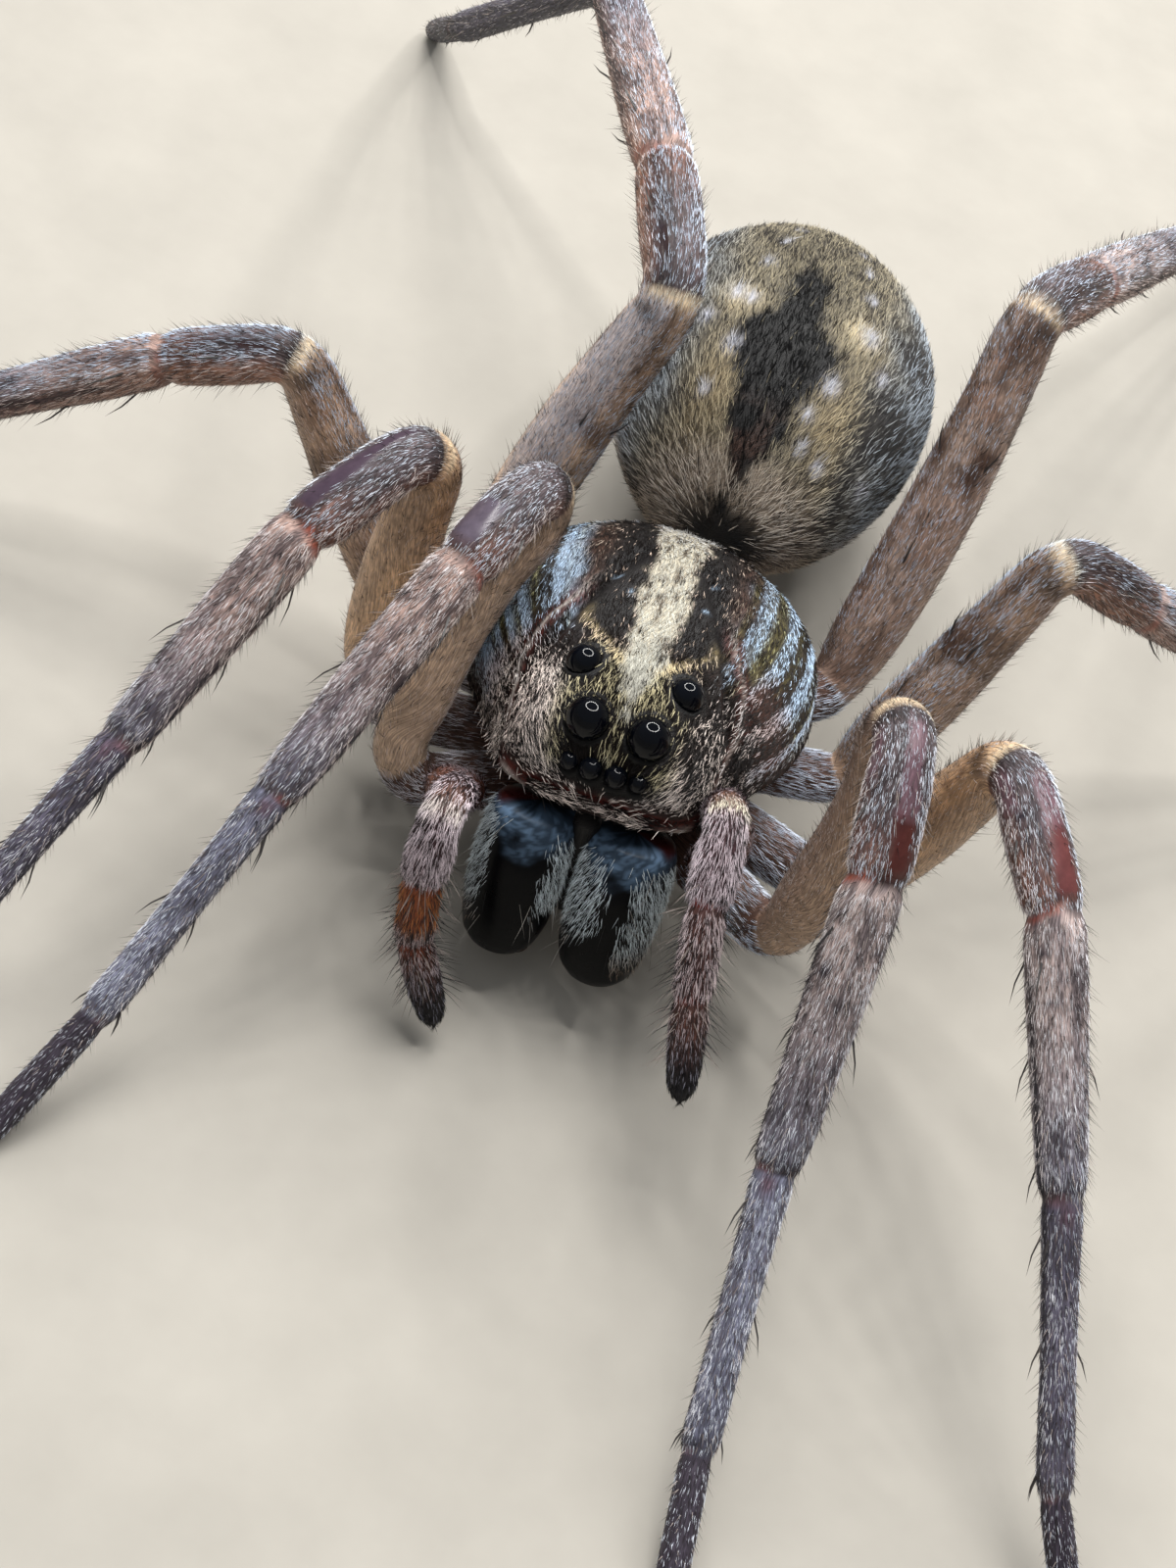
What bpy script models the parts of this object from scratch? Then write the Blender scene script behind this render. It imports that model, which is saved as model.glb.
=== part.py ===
"""Wolf spider (Hogna kind, adult female), life size, standing with raised knees.

The frame: +Z up, the floor at z = 0, the head towards -Y and the spider's own
left side towards +X. Sizes below are in millimetres; MM turns them into metres.
Every outline is the outer one, measured to the tips of the short coat of hair.
"""

import math

import bmesh
import bpy
import numpy as np

MM = 0.001
GAP = 0.06  # clear space between neighbouring pieces

# ---------------------------------------------------------------- stance
BODY_HEIGHT = 3.11  # the carapace's margin over the floor, at mid length
NOSE_UP = 10.7  # degrees
LEFT_UP = 3.9  # degrees
CENTRE = (1.647, -4.997)  # the carapace's middle, from the middle of the footprint

# ---------------------------------------------------------------- carapace
# along the body: (y, half width at the margin, ridge height, margin height, squareness)
CARAPACE = (
    (-4.04, 0.42, 0.86, 0.50, 2.2),
    (-3.99, 0.80, 1.16, 0.47, 2.3),
    (-3.90, 1.12, 1.46, 0.44, 2.4),
    (-3.76, 1.40, 1.80, 0.40, 2.5),
    (-3.58, 1.62, 2.10, 0.34, 2.5),
    (-3.34, 1.80, 2.34, 0.28, 2.45),
    (-3.00, 1.94, 2.52, 0.20, 2.35),
    (-2.50, 2.12, 2.66, 0.12, 2.25),
    (-1.90, 2.42, 2.78, 0.06, 2.15),
    (-1.20, 2.82, 2.86, 0.02, 2.10),
    (-0.40, 3.10, 2.88, 0.0, 2.05),
    (0.50, 3.22, 2.84, 0.0, 2.05),
    (1.30, 3.17, 2.68, 0.0, 2.05),
    (2.00, 2.92, 2.36, 0.0, 2.0),
    (2.60, 2.50, 1.92, 0.02, 2.0),
    (3.10, 1.98, 1.42, 0.05, 2.0),
    (3.50, 1.42, 0.98, 0.10, 2.0),
    (3.74, 0.92, 0.66, 0.14, 2.0),
)
# eyes of the left side: name, (x, y, z) of the centre, radius
EYES = (
    ("anterior_median", (0.22, -3.89, 1.36), 0.19),
    ("anterior_lateral", (0.60, -3.83, 1.33), 0.16),
    ("posterior_median", (0.53, -3.50, 2.03), 0.36),
    ("posterior_lateral", (0.89, -2.54, 2.36), 0.30),
)

# ---------------------------------------------------------------- jaws
JAW_TOP = (0.84, -3.52, 0.06)
JAW_TIP = (0.89, -3.86, -3.12)
JAW_HALF_WIDTHS = ((0.0, 0.72), (0.12, 0.84), (0.35, 0.88), (0.65, 0.84), (0.88, 0.70), (1.0, 0.44))
JAW_HALF_DEPTHS = ((0.0, 0.52), (0.12, 0.74), (0.35, 0.90), (0.65, 0.84), (0.88, 0.66), (1.0, 0.40))

# ---------------------------------------------------------------- underside
STERNUM_CENTRE, STERNUM_HALF = (0.0, -0.05, -1.05), (1.75, 2.30, 0.95)
MAXILLA = ((0.62, -1.9, -1.45), (0.62, -2.42, -2.30), 0.44)

# ---------------------------------------------------------------- abdomen
ABDOMEN_CENTRE, ABDOMEN_HALF, ABDOMEN_YAW = (0.50, 8.30, 3.36), (3.20, 4.36, 2.62), 0.7
PEDICEL_HALF_WIDTH = 0.40

# ---------------------------------------------------------------- legs
# lengths of femur, patella, tibia, metatarsus, tarsus
LENGTHS = {
    1: (6.6, 2.57, 4.95, 4.64, 2.7),
    2: (6.0, 2.56, 4.55, 4.82, 2.6),
    3: (5.95, 2.4, 4.08, 4.98, 2.5),
    4: (7.95, 2.88, 6.1, 7.96, 3.09),
}
STOUT = {1: 1.0, 2: 0.98, 3: 0.95, 4: 1.06}
# where each coxa leaves the sternum, and where its trochanter meets the femur
COXA = {1: (1.15, -1.50, -1.32), 2: (1.45, -0.50, -1.28), 3: (1.45, 0.55, -1.22), 4: (1.10, 1.55, -1.18)}
HIP = {
    "left_1": (3.80, -3.10, -1.72),
    "right_1": (3.80, -2.90, -1.36),
    "left_2": (4.36, -1.22, -1.80),
    "right_2": (4.46, -0.93, -1.34),
    "left_3": (4.08, 1.00, -1.12),
    "right_3": (4.08, 1.00, -1.12),
    "left_4": (3.45, 3.10, -0.85),
    "right_4": (3.58, 3.05, -1.24),
}
# the stance of each leg in degrees: heading of the leg's plane (0 is straight out to the side,
# -90 straight ahead), lean of that plane, climb of femur, patella, tibia and metatarsus, and
# the side turn of the part past the knee
STANCE = {
    "left_1": (-77.8, 1.0, 90.6, -38.0, -47.7, -34.0, 3.8),
    "right_1": (-68.3, 4.4, 126.1, -18.0, -31.9, -33.5, -1.4),
    "left_2": (-54.8, 9.1, 76.2, -16.5, -33.7, -38.5, 1.2),
    "right_2": (-53.0, 8.3, 93.9, -22.1, -36.0, -34.6, 6.9),
    "left_3": (34.4, 8.6, 60.6, -33.8, -30.9, -30.4, 0.3),
    "right_3": (0.2, 12.5, 53.0, -27.4, -35.9, -23.9, 4.0),
    "left_4": (71.6, 7.3, 52.5, -21.2, -23.3, -25.2, 0.3),
    "right_4": (67.8, 13.9, 86.6, 5.0, -9.1, -49.2, -1.5),
}
# how far each femur bows outwards at mid length, along the normal of the leg's plane
FEMUR_BOW = {1: -0.30, 2: -0.15, 3: 0.05, 4: 0.15}
# half heights and half widths along each piece of a leg
COXA_HALF = ((0.0, 0.60, 0.56), (0.5, 0.62, 0.56), (0.8, 0.60, 0.56), (1.0, 0.56, 0.54))
FEMUR_HALF = ((0.0, 0.60, 0.57), (0.12, 0.74, 0.66), (0.28, 0.80, 0.69), (0.52, 0.77, 0.68), (0.76, 0.68, 0.63), (1.0, 0.60, 0.60))
PATELLA_HALF = ((0.0, 0.59, 0.60), (0.4, 0.62, 0.61), (0.9, 0.59, 0.59), (1.0, 0.54, 0.54))
TIBIA_HALF = ((0.0, 0.52, 0.53), (0.08, 0.58, 0.585), (0.25, 0.585, 0.585), (0.6, 0.54, 0.54), (0.94, 0.47, 0.48), (1.0, 0.42, 0.43))
META_HALF = ((0.0, 0.37, 0.38), (0.06, 0.41, 0.41), (0.2, 0.38, 0.38), (0.6, 0.35, 0.35), (0.94, 0.36, 0.36), (1.0, 0.29, 0.30))
TARSUS_HALF = ((0.0, 0.27, 0.28), (0.15, 0.30, 0.31), (0.6, 0.30, 0.31), (0.88, 0.27, 0.28), (1.0, 0.22, 0.22))
TOE_HEIGHT = 0.10  # centre of the toe's end over the floor, under its half height

# ---------------------------------------------------------------- palps
PALP_HIP = (1.98, -2.80, -0.92)
PALP_LENGTHS = {"left": (2.72, 1.55, 1.55, 1.72), "right": (2.78, 1.38, 1.34, 1.70)}
PALP_BOW = 0.34
# heading and climb of femur, patella, tibia, tarsus
PALP_STANCE = {
    "left": ((-87.0, 74.5), (-80.0, -37.2), (-74.4, -39.0), (-69.6, -39.0)),
    "right": ((-79.0, 41.0), (-104.0, -72.0), (-128.0, -75.0), (-145.0, -51.0)),
}
PALP_HALF = (
    ((0.0, 0.34), (0.3, 0.42), (0.8, 0.42), (1.0, 0.41)),
    ((0.0, 0.42), (0.4, 0.45), (0.85, 0.43), (1.0, 0.37)),
    ((0.0, 0.35), (0.15, 0.39), (0.85, 0.39), (1.0, 0.34)),
    ((0.0, 0.33), (0.25, 0.37), (0.7, 0.33), (0.93, 0.24), (1.0, 0.13)),
)


# ================================================================ small maths
def unit(v):
    v = np.asarray(v, float)
    return v / np.linalg.norm(v)


def along(table, t):
    """The table's values at t, eased between its rows."""
    keys = [row[0] for row in table]
    t = min(max(t, keys[0]), keys[-1])
    i = max(1, next(k for k, key in enumerate(keys) if t <= key + 1e-12)) if t > keys[0] else 1
    u = (t - keys[i - 1]) / (keys[i] - keys[i - 1])
    low, high = np.array(table[i - 1][1:], float), np.array(table[i][1:], float)
    return low + (high - low) * u


def body_axes():
    """Rows to columns: the body's own axes in the world, nose up and left side up."""
    p, r = math.radians(-NOSE_UP), math.radians(-LEFT_UP)
    pitch = np.array([[1, 0, 0], [0, math.cos(p), -math.sin(p)], [0, math.sin(p), math.cos(p)]])
    roll = np.array([[math.cos(r), 0, math.sin(r)], [0, 1, 0], [-math.sin(r), 0, math.cos(r)]])
    return pitch @ roll


AXES = body_axes()


def from_body(p):
    """A point of the body's own frame in the world."""
    return AXES @ np.asarray(p, float) + np.array([CENTRE[0], CENTRE[1], BODY_HEIGHT])


# ================================================================ making meshes
COLLECTION = None
MATERIALS = {}


def material(name, colour, roughness):
    made = bpy.data.materials.new(name)
    made.use_nodes = True
    shader = made.node_tree.nodes["Principled BSDF"]
    shader.inputs["Base Color"].default_value = (*colour, 1.0)
    shader.inputs["Roughness"].default_value = roughness
    shader.inputs["Metallic"].default_value = 0.0
    MATERIALS[name] = made


def piece(name, mesh_builder, finish):
    """One named object from a bmesh, smooth shaded, in metres."""
    mesh_builder.verts.ensure_lookup_table()
    bmesh.ops.recalc_face_normals(mesh_builder, faces=mesh_builder.faces)
    mesh = bpy.data.meshes.new(name)
    mesh_builder.to_mesh(mesh)
    mesh_builder.free()
    mesh.materials.append(MATERIALS[finish])
    mesh.shade_smooth()
    obj = bpy.data.objects.new(name, mesh)
    COLLECTION.objects.link(obj)
    return obj


def loft(rings):
    """A closed skin over a row of like rings, each an (n, 3) array, with a flat fan on each end."""
    bm = bmesh.new()
    made = [[bm.verts.new(p * MM) for p in ring] for ring in rings]
    count = len(rings[0])
    for low, high in zip(made, made[1:]):
        for k in range(count):
            bm.faces.new((low[k], low[(k + 1) % count], high[(k + 1) % count], high[k]))
    for ring, points in ((made[0], rings[0]), (made[-1], rings[-1])):
        hub = bm.verts.new(np.mean(points, axis=0) * MM)
        for k in range(count):
            bm.faces.new((ring[k], ring[(k + 1) % count], hub))
    bmesh.ops.recalc_face_normals(bm, faces=bm.faces)
    return bm


def ball(centre, radius, finer=False):
    bm = bmesh.new()
    if finer:
        bmesh.ops.create_uvsphere(bm, u_segments=12, v_segments=7, radius=radius * MM)
    else:
        bmesh.ops.create_icosphere(bm, subdivisions=2, radius=radius * MM)
    bmesh.ops.translate(bm, verts=bm.verts, vec=np.asarray(centre) * MM)
    return bm


def boolean(target, cutter_mesh, operation):
    """Applies one Boolean to the target object and removes the cutter."""
    cutter_mesh_data = bpy.data.meshes.new("cutter")
    bmesh.ops.recalc_face_normals(cutter_mesh, faces=cutter_mesh.faces)
    cutter_mesh.to_mesh(cutter_mesh_data)
    cutter_mesh.free()
    cutter = bpy.data.objects.new("cutter", cutter_mesh_data)
    COLLECTION.objects.link(cutter)
    modifier = target.modifiers.new("cut", "BOOLEAN")
    modifier.operation = operation
    modifier.object = cutter
    bpy.context.view_layer.update()
    graph = bpy.context.evaluated_depsgraph_get()
    result = bpy.data.meshes.new_from_object(target.evaluated_get(graph))
    result.name = target.name
    target.modifiers.clear()
    target.data = result
    bpy.data.objects.remove(cutter)


def trim(bm, point, normal):
    """Cuts away what lies beyond the plane and closes the cut flat."""
    geometry = bm.verts[:] + bm.edges[:] + bm.faces[:]
    bmesh.ops.bisect_plane(
        bm, geom=geometry, dist=1e-7, plane_co=np.asarray(point) * MM, plane_no=normal, clear_outer=True
    )
    rim = [e for e in bm.edges if e.is_boundary]
    if rim:
        bmesh.ops.holes_fill(bm, edges=rim, sides=0)
    bmesh.ops.triangulate(bm, faces=[f for f in bm.faces if len(f.verts) > 4])
    return bm


# ================================================================ bent tubes
def bend(before, corner, after, radius, steps):
    """Points round a corner on an arc of this radius, and the arc's middle index."""
    a, b = unit(np.subtract(before, corner)), unit(np.subtract(after, corner))
    half = math.acos(max(-1.0, min(1.0, float(a @ b)))) / 2
    reach = radius / math.tan(half)
    hub = corner + unit(a + b) * radius / math.sin(half)
    start, end = corner + a * reach, corner + b * reach
    x, y = unit(start - hub), None
    swing = math.pi - 2 * half
    y = unit((end - hub) - ((end - hub) @ x) * x)
    angles = [swing * k / (2 * steps) for k in range(2 * steps + 1)]
    return [hub + radius * (math.cos(t) * x + math.sin(t) * y) for t in angles], [
        unit(-math.sin(t) * x + math.cos(t) * y) for t in angles
    ]


def ring(centre, tangent, plane_normal, half_height, half_width, count):
    side = unit(plane_normal - (plane_normal @ tangent) * tangent)
    up = np.cross(side, tangent)
    angles = [2 * math.pi * (k + 0.5) / count for k in range(count)]
    return np.array([centre + math.cos(t) * half_width * side + math.sin(t) * half_height * up for t in angles])


def straight(start, end, plane_normal, table, scale, count, first=0.0, last=1.0, bow=None, ways=(None, None)):
    """Rings from start to end, at the table's rows between the shares first and last of the piece. The line
    bows by the vector bow at mid length, and ways are the end rings' directions where a joint is mitred."""
    start, end = np.asarray(start, float), np.asarray(end, float)
    bow = np.zeros(3) if bow is None else np.asarray(bow, float)
    keys = sorted({first, last} | {row[0] for row in table if first < row[0] < last})
    rings = []
    for key in keys:
        values = along(table, key)
        height, width = values[0], values[-1]
        way = unit(end - start + bow * 4 * (1 - 2 * key))
        if key == first and ways[0] is not None:
            way = ways[0]
        if key == last and ways[1] is not None:
            way = ways[1]
        centre = start + (end - start) * key + bow * 4 * key * (1 - key)
        rings.append(ring(centre, way, plane_normal, height * scale, width * scale, count))
    return rings


def leg_points(name, side, number, stance):
    """Coxa root, hip, knee, and the joints past it, down to the toe on the floor, and the plane's normal."""
    heading, lean, femur, patella, tibia, meta, turn = (math.radians(a) for a in stance)
    mirror = np.array([side, 1.0, 1.0])
    out = np.array([math.cos(heading), math.sin(heading), 0.0])
    across = np.array([-math.sin(heading), math.cos(heading), 0.0])
    up = np.array([0, 0, 1.0]) * math.cos(lean) + across * math.sin(lean)
    normal = np.cross(out, up)
    root = from_body(np.array(COXA[number]) * mirror)
    hip = from_body(np.array(HIP[name]) * mirror)
    lengths = LENGTHS[number]
    points = [root, hip]
    for k, climb in enumerate((femur, patella, tibia, meta)):
        way = out * math.cos(climb) + up * math.sin(climb)
        if k >= 2:
            way = way * math.cos(turn) + normal * math.sin(turn)
        points.append(points[-1] + lengths[k] * way * mirror)
    level = out * math.cos(turn) + normal * math.sin(turn)
    level = unit([level[0] * side, level[1], 0.0])
    drop = points[-1][2] - TOE_HEIGHT
    toe = points[-1] + level * math.sqrt(lengths[4] ** 2 - drop**2) - np.array([0, 0, drop])
    points.append(toe)
    return points, normal * mirror * side


def knee_corner(hip, knee, shin, radius, half):
    """The knee's corner moved out along the patella, so that the rounded knee still reaches its height."""
    a, b = unit(hip - knee), unit(shin - knee)
    inner = math.acos(max(-1.0, min(1.0, float(a @ b)))) / 2
    short = radius / math.sin(inner) - radius - half + 0.33
    return knee - b * max(0.0, short) / math.cos(inner)


def make_leg(name, side, number, stance):
    points, normal = leg_points(name, side, number, stance)
    root, hip, knee, shin, ankle, heel, toe = points
    size = STOUT[number]
    sides = 8
    knee_radius = 0.66 * size
    knee = knee_corner(hip, knee, shin, knee_radius, 0.58 * size)
    hip_arc, hip_ways = bend(root, hip, knee, 0.70 * size, 2)
    knee_arc, knee_ways = bend(hip, knee, shin, knee_radius, 3)

    def arc_rings(arc, ways, picks, height, width, shift):
        rings = []
        for k in picks:
            rings.append(ring(arc[k] + ways[k] * shift.get(k, 0.0), ways[k], normal, height * size, width * size, sides))
        return rings

    # coxa and trochanter, later joined to the sternum
    coxa_end = hip_arc[0]
    coxa = straight(root, coxa_end, normal, COXA_HALF, size, sides)
    coxa += arc_rings(hip_arc, hip_ways, (1, 2), 0.55, 0.54, {2: -GAP / 2})

    femur = arc_rings(hip_arc, hip_ways, (2, 3), 0.55, 0.54, {2: GAP / 2})
    bow = unit(normal) * side * FEMUR_BOW[number]
    femur += straight(hip_arc[-1], knee_arc[0], normal, FEMUR_HALF, size, sides, bow=bow)
    femur += arc_rings(knee_arc, knee_ways, (1, 2, 3), 0.58, 0.57, {3: -GAP / 2})

    patella = arc_rings(knee_arc, knee_ways, (3, 4, 5), 0.58, 0.57, {3: GAP / 2})
    share = GAP / 2 / np.linalg.norm(shin - knee_arc[-1])
    mitre = unit(unit(shin - knee_arc[-1]) + unit(ankle - shin))
    patella += straight(
        knee_arc[-1], shin, normal, PATELLA_HALF, size, sides, first=0.05, last=1 - share, ways=(None, mitre)
    )

    long_tibia = np.linalg.norm(ankle - shin)
    share = GAP / 2 / long_tibia
    second = unit(unit(ankle - shin) + unit(heel - ankle))
    tibia = straight(shin, ankle, normal, TIBIA_HALF, size, sides, share, 1 - share, ways=(mitre, second))

    long_meta = np.linalg.norm(heel - ankle)
    foot = straight(ankle, heel, normal, META_HALF, size, sides, GAP / 2 / long_meta, 0.985, ways=(second, None))
    foot += straight(heel, toe, normal, TARSUS_HALF, size, sides, 0.03, 1.0)

    piece(f"leg_{name}_femur", loft(femur), "leg")
    piece(f"leg_{name}_patella", loft(patella), "knee")
    piece(f"leg_{name}_tibia", loft(tibia), "leg")
    foot = trim(loft(foot), (0, 0, 0), (0, 0, -1))
    piece(f"leg_{name}_foot", foot, "foot")
    return loft(coxa)


# ================================================================ the body
def carapace_ring(y, half_width, ridge, margin, square):
    """One cross section: an arch from margin to margin, closed by the flat underside."""
    arch, under = 14, 3
    points = []
    for k in range(arch):
        t = math.pi * k / (arch - 1)
        c, s = math.cos(t), math.sin(t)
        x = half_width * math.copysign(abs(c) ** (2 / square), c)
        z = margin + (ridge - margin) * abs(s) ** (2 / square)
        points.append((x, y, z))
    for k in range(1, under + 1):
        x = -half_width + 2 * half_width * k / (under + 1)
        points.append((x, y, margin - 0.05 * math.sin(math.pi * k / (under + 1))))
    return np.array([from_body(p) for p in points])


def make_carapace():
    obj = piece("carapace", loft([carapace_ring(*row) for row in CARAPACE]), "carapace")
    for side, word in ((1, "left"), (-1, "right")):
        for name, centre, radius in EYES:
            place = from_body(np.array(centre) * np.array([side, 1, 1]))
            finer = radius > 0.25
            boolean(obj, ball(place, radius + 0.03, finer), "DIFFERENCE")
            piece(f"eye_{name}_{word}", ball(place, radius, finer), "eye")


def make_jaw(side, word):
    top, tip = (from_body(np.array(p) * np.array([side, 1, 1])) for p in (JAW_TOP, JAW_TIP))
    way = unit(tip - top)
    across = AXES @ np.array([1.0, 0, 0])
    rings = []
    for (t, width), (_, depth) in zip(JAW_HALF_WIDTHS, JAW_HALF_DEPTHS):
        rings.append(ring(top + (tip - top) * t, way, across, depth, width, 12))
    jaw = trim(loft(rings), from_body((side * GAP / 2, 0, 0)), AXES @ np.array([-side, 0, 0]))
    jaw = trim(jaw, from_body((0, -4.0, 0.42)), unit(AXES @ np.array([0, -0.12, 1.0])))
    piece(f"chelicera_{word}", jaw, "jaw")
    # the fang, folded in across the tip of the jaw
    rings = []
    root = np.array([0.98, -3.66, -3.30])
    for k in range(5):
        t = k / 4
        angle = math.radians(100) * t
        centre = root + np.array([-0.62 * math.sin(angle), 0.42 * t, -0.20 * math.sin(angle * 1.2) + 0.05 * t])
        way = unit(np.array([-0.62 * math.cos(angle) - 0.15, 0.42, -0.24 * math.cos(angle * 1.2)]))
        width = 0.17 * (1 - 0.72 * t)
        point = from_body(centre * np.array([side, 1, 1]))
        rings.append(ring(point, AXES @ (way * np.array([side, 1, 1])), AXES @ np.array([0, 0, 1.0]), width, width, 7))
    piece(f"fang_{word}", loft(rings), "fang")


def make_underside(coxae):
    bm = bmesh.new()
    bmesh.ops.create_uvsphere(bm, u_segments=12, v_segments=8, radius=1.0)
    for v in bm.verts:
        p = np.array(v.co) * np.array(STERNUM_HALF) + np.array(STERNUM_CENTRE)
        p[0] *= 1.0 - 0.12 * (p[1] / STERNUM_HALF[1])
        v.co = from_body(p) * MM
    obj = piece("sternum_and_coxae", bm, "underside")
    for coxa in coxae:
        boolean(obj, coxa, "UNION")
    for side in (1, -1):
        mirror = np.array([side, 1, 1])
        start, end = (from_body(np.array(p) * mirror) for p in MAXILLA[:2])
        half = ((0.0, MAXILLA[2]), (0.5, MAXILLA[2]), (0.85, MAXILLA[2] * 0.85), (1.0, MAXILLA[2] * 0.55))
        boolean(obj, loft(straight(start, end, AXES @ np.array([1.0, 0, 0]), half, 1.0, 8)), "UNION")
    return obj


def make_palp(side, word):
    mirror = np.array([side, 1.0, 1.0])
    points = [from_body(np.array(PALP_HIP) * mirror)]
    for length, (heading, climb) in zip(PALP_LENGTHS[word], PALP_STANCE[word]):
        h, c = math.radians(heading), math.radians(climb)
        points.append(points[-1] + length * np.array([math.cos(h) * math.cos(c), math.sin(h) * math.cos(c), math.sin(c)]) * mirror)
    hip, knee, elbow, wrist, tip = points
    normal = unit(np.cross(hip - knee, elbow - knee))
    knee = knee_corner(hip, knee, elbow, 0.48, 0.41)
    arc, ways = bend(hip, knee, elbow, 0.48, 3)
    outwards = AXES @ np.array([side, 0.0, 0.0])
    femur = straight(hip, arc[0], normal, PALP_HALF[0], 1.0, 8, bow=outwards * PALP_BOW)
    femur += [ring(arc[k] - ways[k] * (GAP / 2 if k == 3 else 0), ways[k], normal, 0.41, 0.41, 8) for k in (1, 2, 3)]
    lower = [ring(arc[k] + ways[k] * (GAP / 2 if k == 3 else 0), ways[k], normal, 0.41, 0.41, 8) for k in (3, 4, 5)]
    lower += straight(arc[-1], elbow, normal, PALP_HALF[1], 1.0, 8, 0.0, 0.99)
    lower += straight(elbow, wrist, normal, PALP_HALF[2], 1.0, 8, 0.03, 0.985)
    lower += straight(wrist, tip, normal, PALP_HALF[3], 1.0, 8, 0.03, 1.0)
    piece(f"palp_{word}_femur", loft(femur), "leg")
    piece(f"palp_{word}_lower", loft(lower), "knee")


def make_abdomen():
    yaw = math.radians(-ABDOMEN_YAW)
    turn = np.array([[math.cos(yaw), -math.sin(yaw), 0], [math.sin(yaw), math.cos(yaw), 0], [0, 0, 1]])
    base = np.array(ABDOMEN_CENTRE) + np.array([CENTRE[0], CENTRE[1], 0])
    bm = bmesh.new()
    bmesh.ops.create_uvsphere(bm, u_segments=18, v_segments=13, radius=1.0)
    for v in bm.verts:
        # the sphere's poles become the abdomen's two ends
        x, y, z = v.co.x, v.co.z, -v.co.y
        taper = 1.0 + 0.06 * y - 0.10 * max(0.0, y) ** 2
        p = np.array([x * taper, y, z * (1.0 - 0.06 * y)]) * np.array(ABDOMEN_HALF)
        v.co = (turn @ p + base) * MM
    piece("abdomen", bm, "abdomen")

    # the waist
    low = 1.15
    front = ABDOMEN_HALF[1] * math.sqrt(1 - (low / ABDOMEN_HALF[2]) ** 2)
    start, end = from_body((0, 2.42, -0.95)), turn @ np.array([0, -front - 0.18, -low]) + base
    way = unit(end - start)
    obj = piece("pedicel", loft([
        ring(start + (end - start) * t, way, np.array([1.0, 0, 0]), PEDICEL_HALF_WIDTH * 0.8, PEDICEL_HALF_WIDTH, 8)
        for t in (0.0, 0.5, 1.0)]), "underside")

    # four long spinnerets on one low mound
    end = turn @ np.array([0, ABDOMEN_HALF[1] + GAP, -0.35]) + base
    back = turn @ np.array([0, 1.0, 0])
    mound = loft([ring(end + back * d, back, np.array([1.0, 0, 0]), h, h, 10) for d, h in ((0.0, 0.52), (0.16, 0.46))])
    obj = piece("spinnerets", mound, "abdomen")
    for x, z, long, half in ((0.24, -0.17, 0.75, 0.16), (0.22, 0.2, 0.62, 0.14)):
        for side in (1, -1):
            foot = end + np.array([side * x, 0, z])
            way = unit(back + np.array([side * 0.25, 0, -0.15 if z < 0 else 0.12]))
            cone = loft([ring(foot + way * long * t, way, np.array([1.0, 0, 0]), half * w, half * w, 6) for t, w in ((0.05, 1.0), (0.7, 0.85), (1.0, 0.4))])
            boolean(obj, cone, "UNION")


# ================================================================ build
def main():
    global COLLECTION
    for obj in list(bpy.data.objects):
        bpy.data.objects.remove(obj)
    COLLECTION = bpy.data.collections.new("wolf_spider")
    bpy.context.scene.collection.children.link(COLLECTION)
    material("carapace", (0.16, 0.11, 0.075), 0.6)
    material("leg", (0.23, 0.17, 0.14), 0.7)
    material("knee", (0.17, 0.085, 0.07), 0.5)
    material("foot", (0.12, 0.10, 0.10), 0.7)
    material("jaw", (0.015, 0.014, 0.015), 0.3)
    material("fang", (0.03, 0.008, 0.005), 0.2)
    material("eye", (0.005, 0.005, 0.006), 0.05)
    material("underside", (0.10, 0.075, 0.055), 0.7)
    material("abdomen", (0.20, 0.16, 0.11), 0.8)

    make_carapace()
    coxae = []
    for name, stance in STANCE.items():
        word, number = name.split("_")
        coxae.append(make_leg(name, 1 if word == "left" else -1, int(number), stance))
    make_underside(coxae)
    for side, word in ((1, "left"), (-1, "right")):
        make_jaw(side, word)
        make_palp(side, word)
    make_abdomen()


main()
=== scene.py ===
"""The looks of a life-size wolf spider: one skin over the flesh, a coat of short hair made of
closed mesh spikes, glossy eyes, jaws, fangs and claws. Shapes are worked out in millimetres in the
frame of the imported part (+Z up, head towards -Y, the spider's left towards +X) and written in metres."""

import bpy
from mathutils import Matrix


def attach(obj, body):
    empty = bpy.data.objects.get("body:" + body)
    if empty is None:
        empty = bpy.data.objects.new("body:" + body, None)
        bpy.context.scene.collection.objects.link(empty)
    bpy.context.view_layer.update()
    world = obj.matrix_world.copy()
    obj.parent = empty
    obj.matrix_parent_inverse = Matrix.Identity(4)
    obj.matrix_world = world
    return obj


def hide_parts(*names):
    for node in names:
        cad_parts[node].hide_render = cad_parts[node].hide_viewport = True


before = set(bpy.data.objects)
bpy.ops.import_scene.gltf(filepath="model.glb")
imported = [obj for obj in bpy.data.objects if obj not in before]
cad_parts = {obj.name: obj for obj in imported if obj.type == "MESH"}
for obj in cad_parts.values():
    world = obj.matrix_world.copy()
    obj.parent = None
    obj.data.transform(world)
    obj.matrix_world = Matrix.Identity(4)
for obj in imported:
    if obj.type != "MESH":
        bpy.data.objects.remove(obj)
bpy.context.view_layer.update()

import math

import bpy
import numpy as np
from mathutils import Matrix

MM = 0.001

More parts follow.
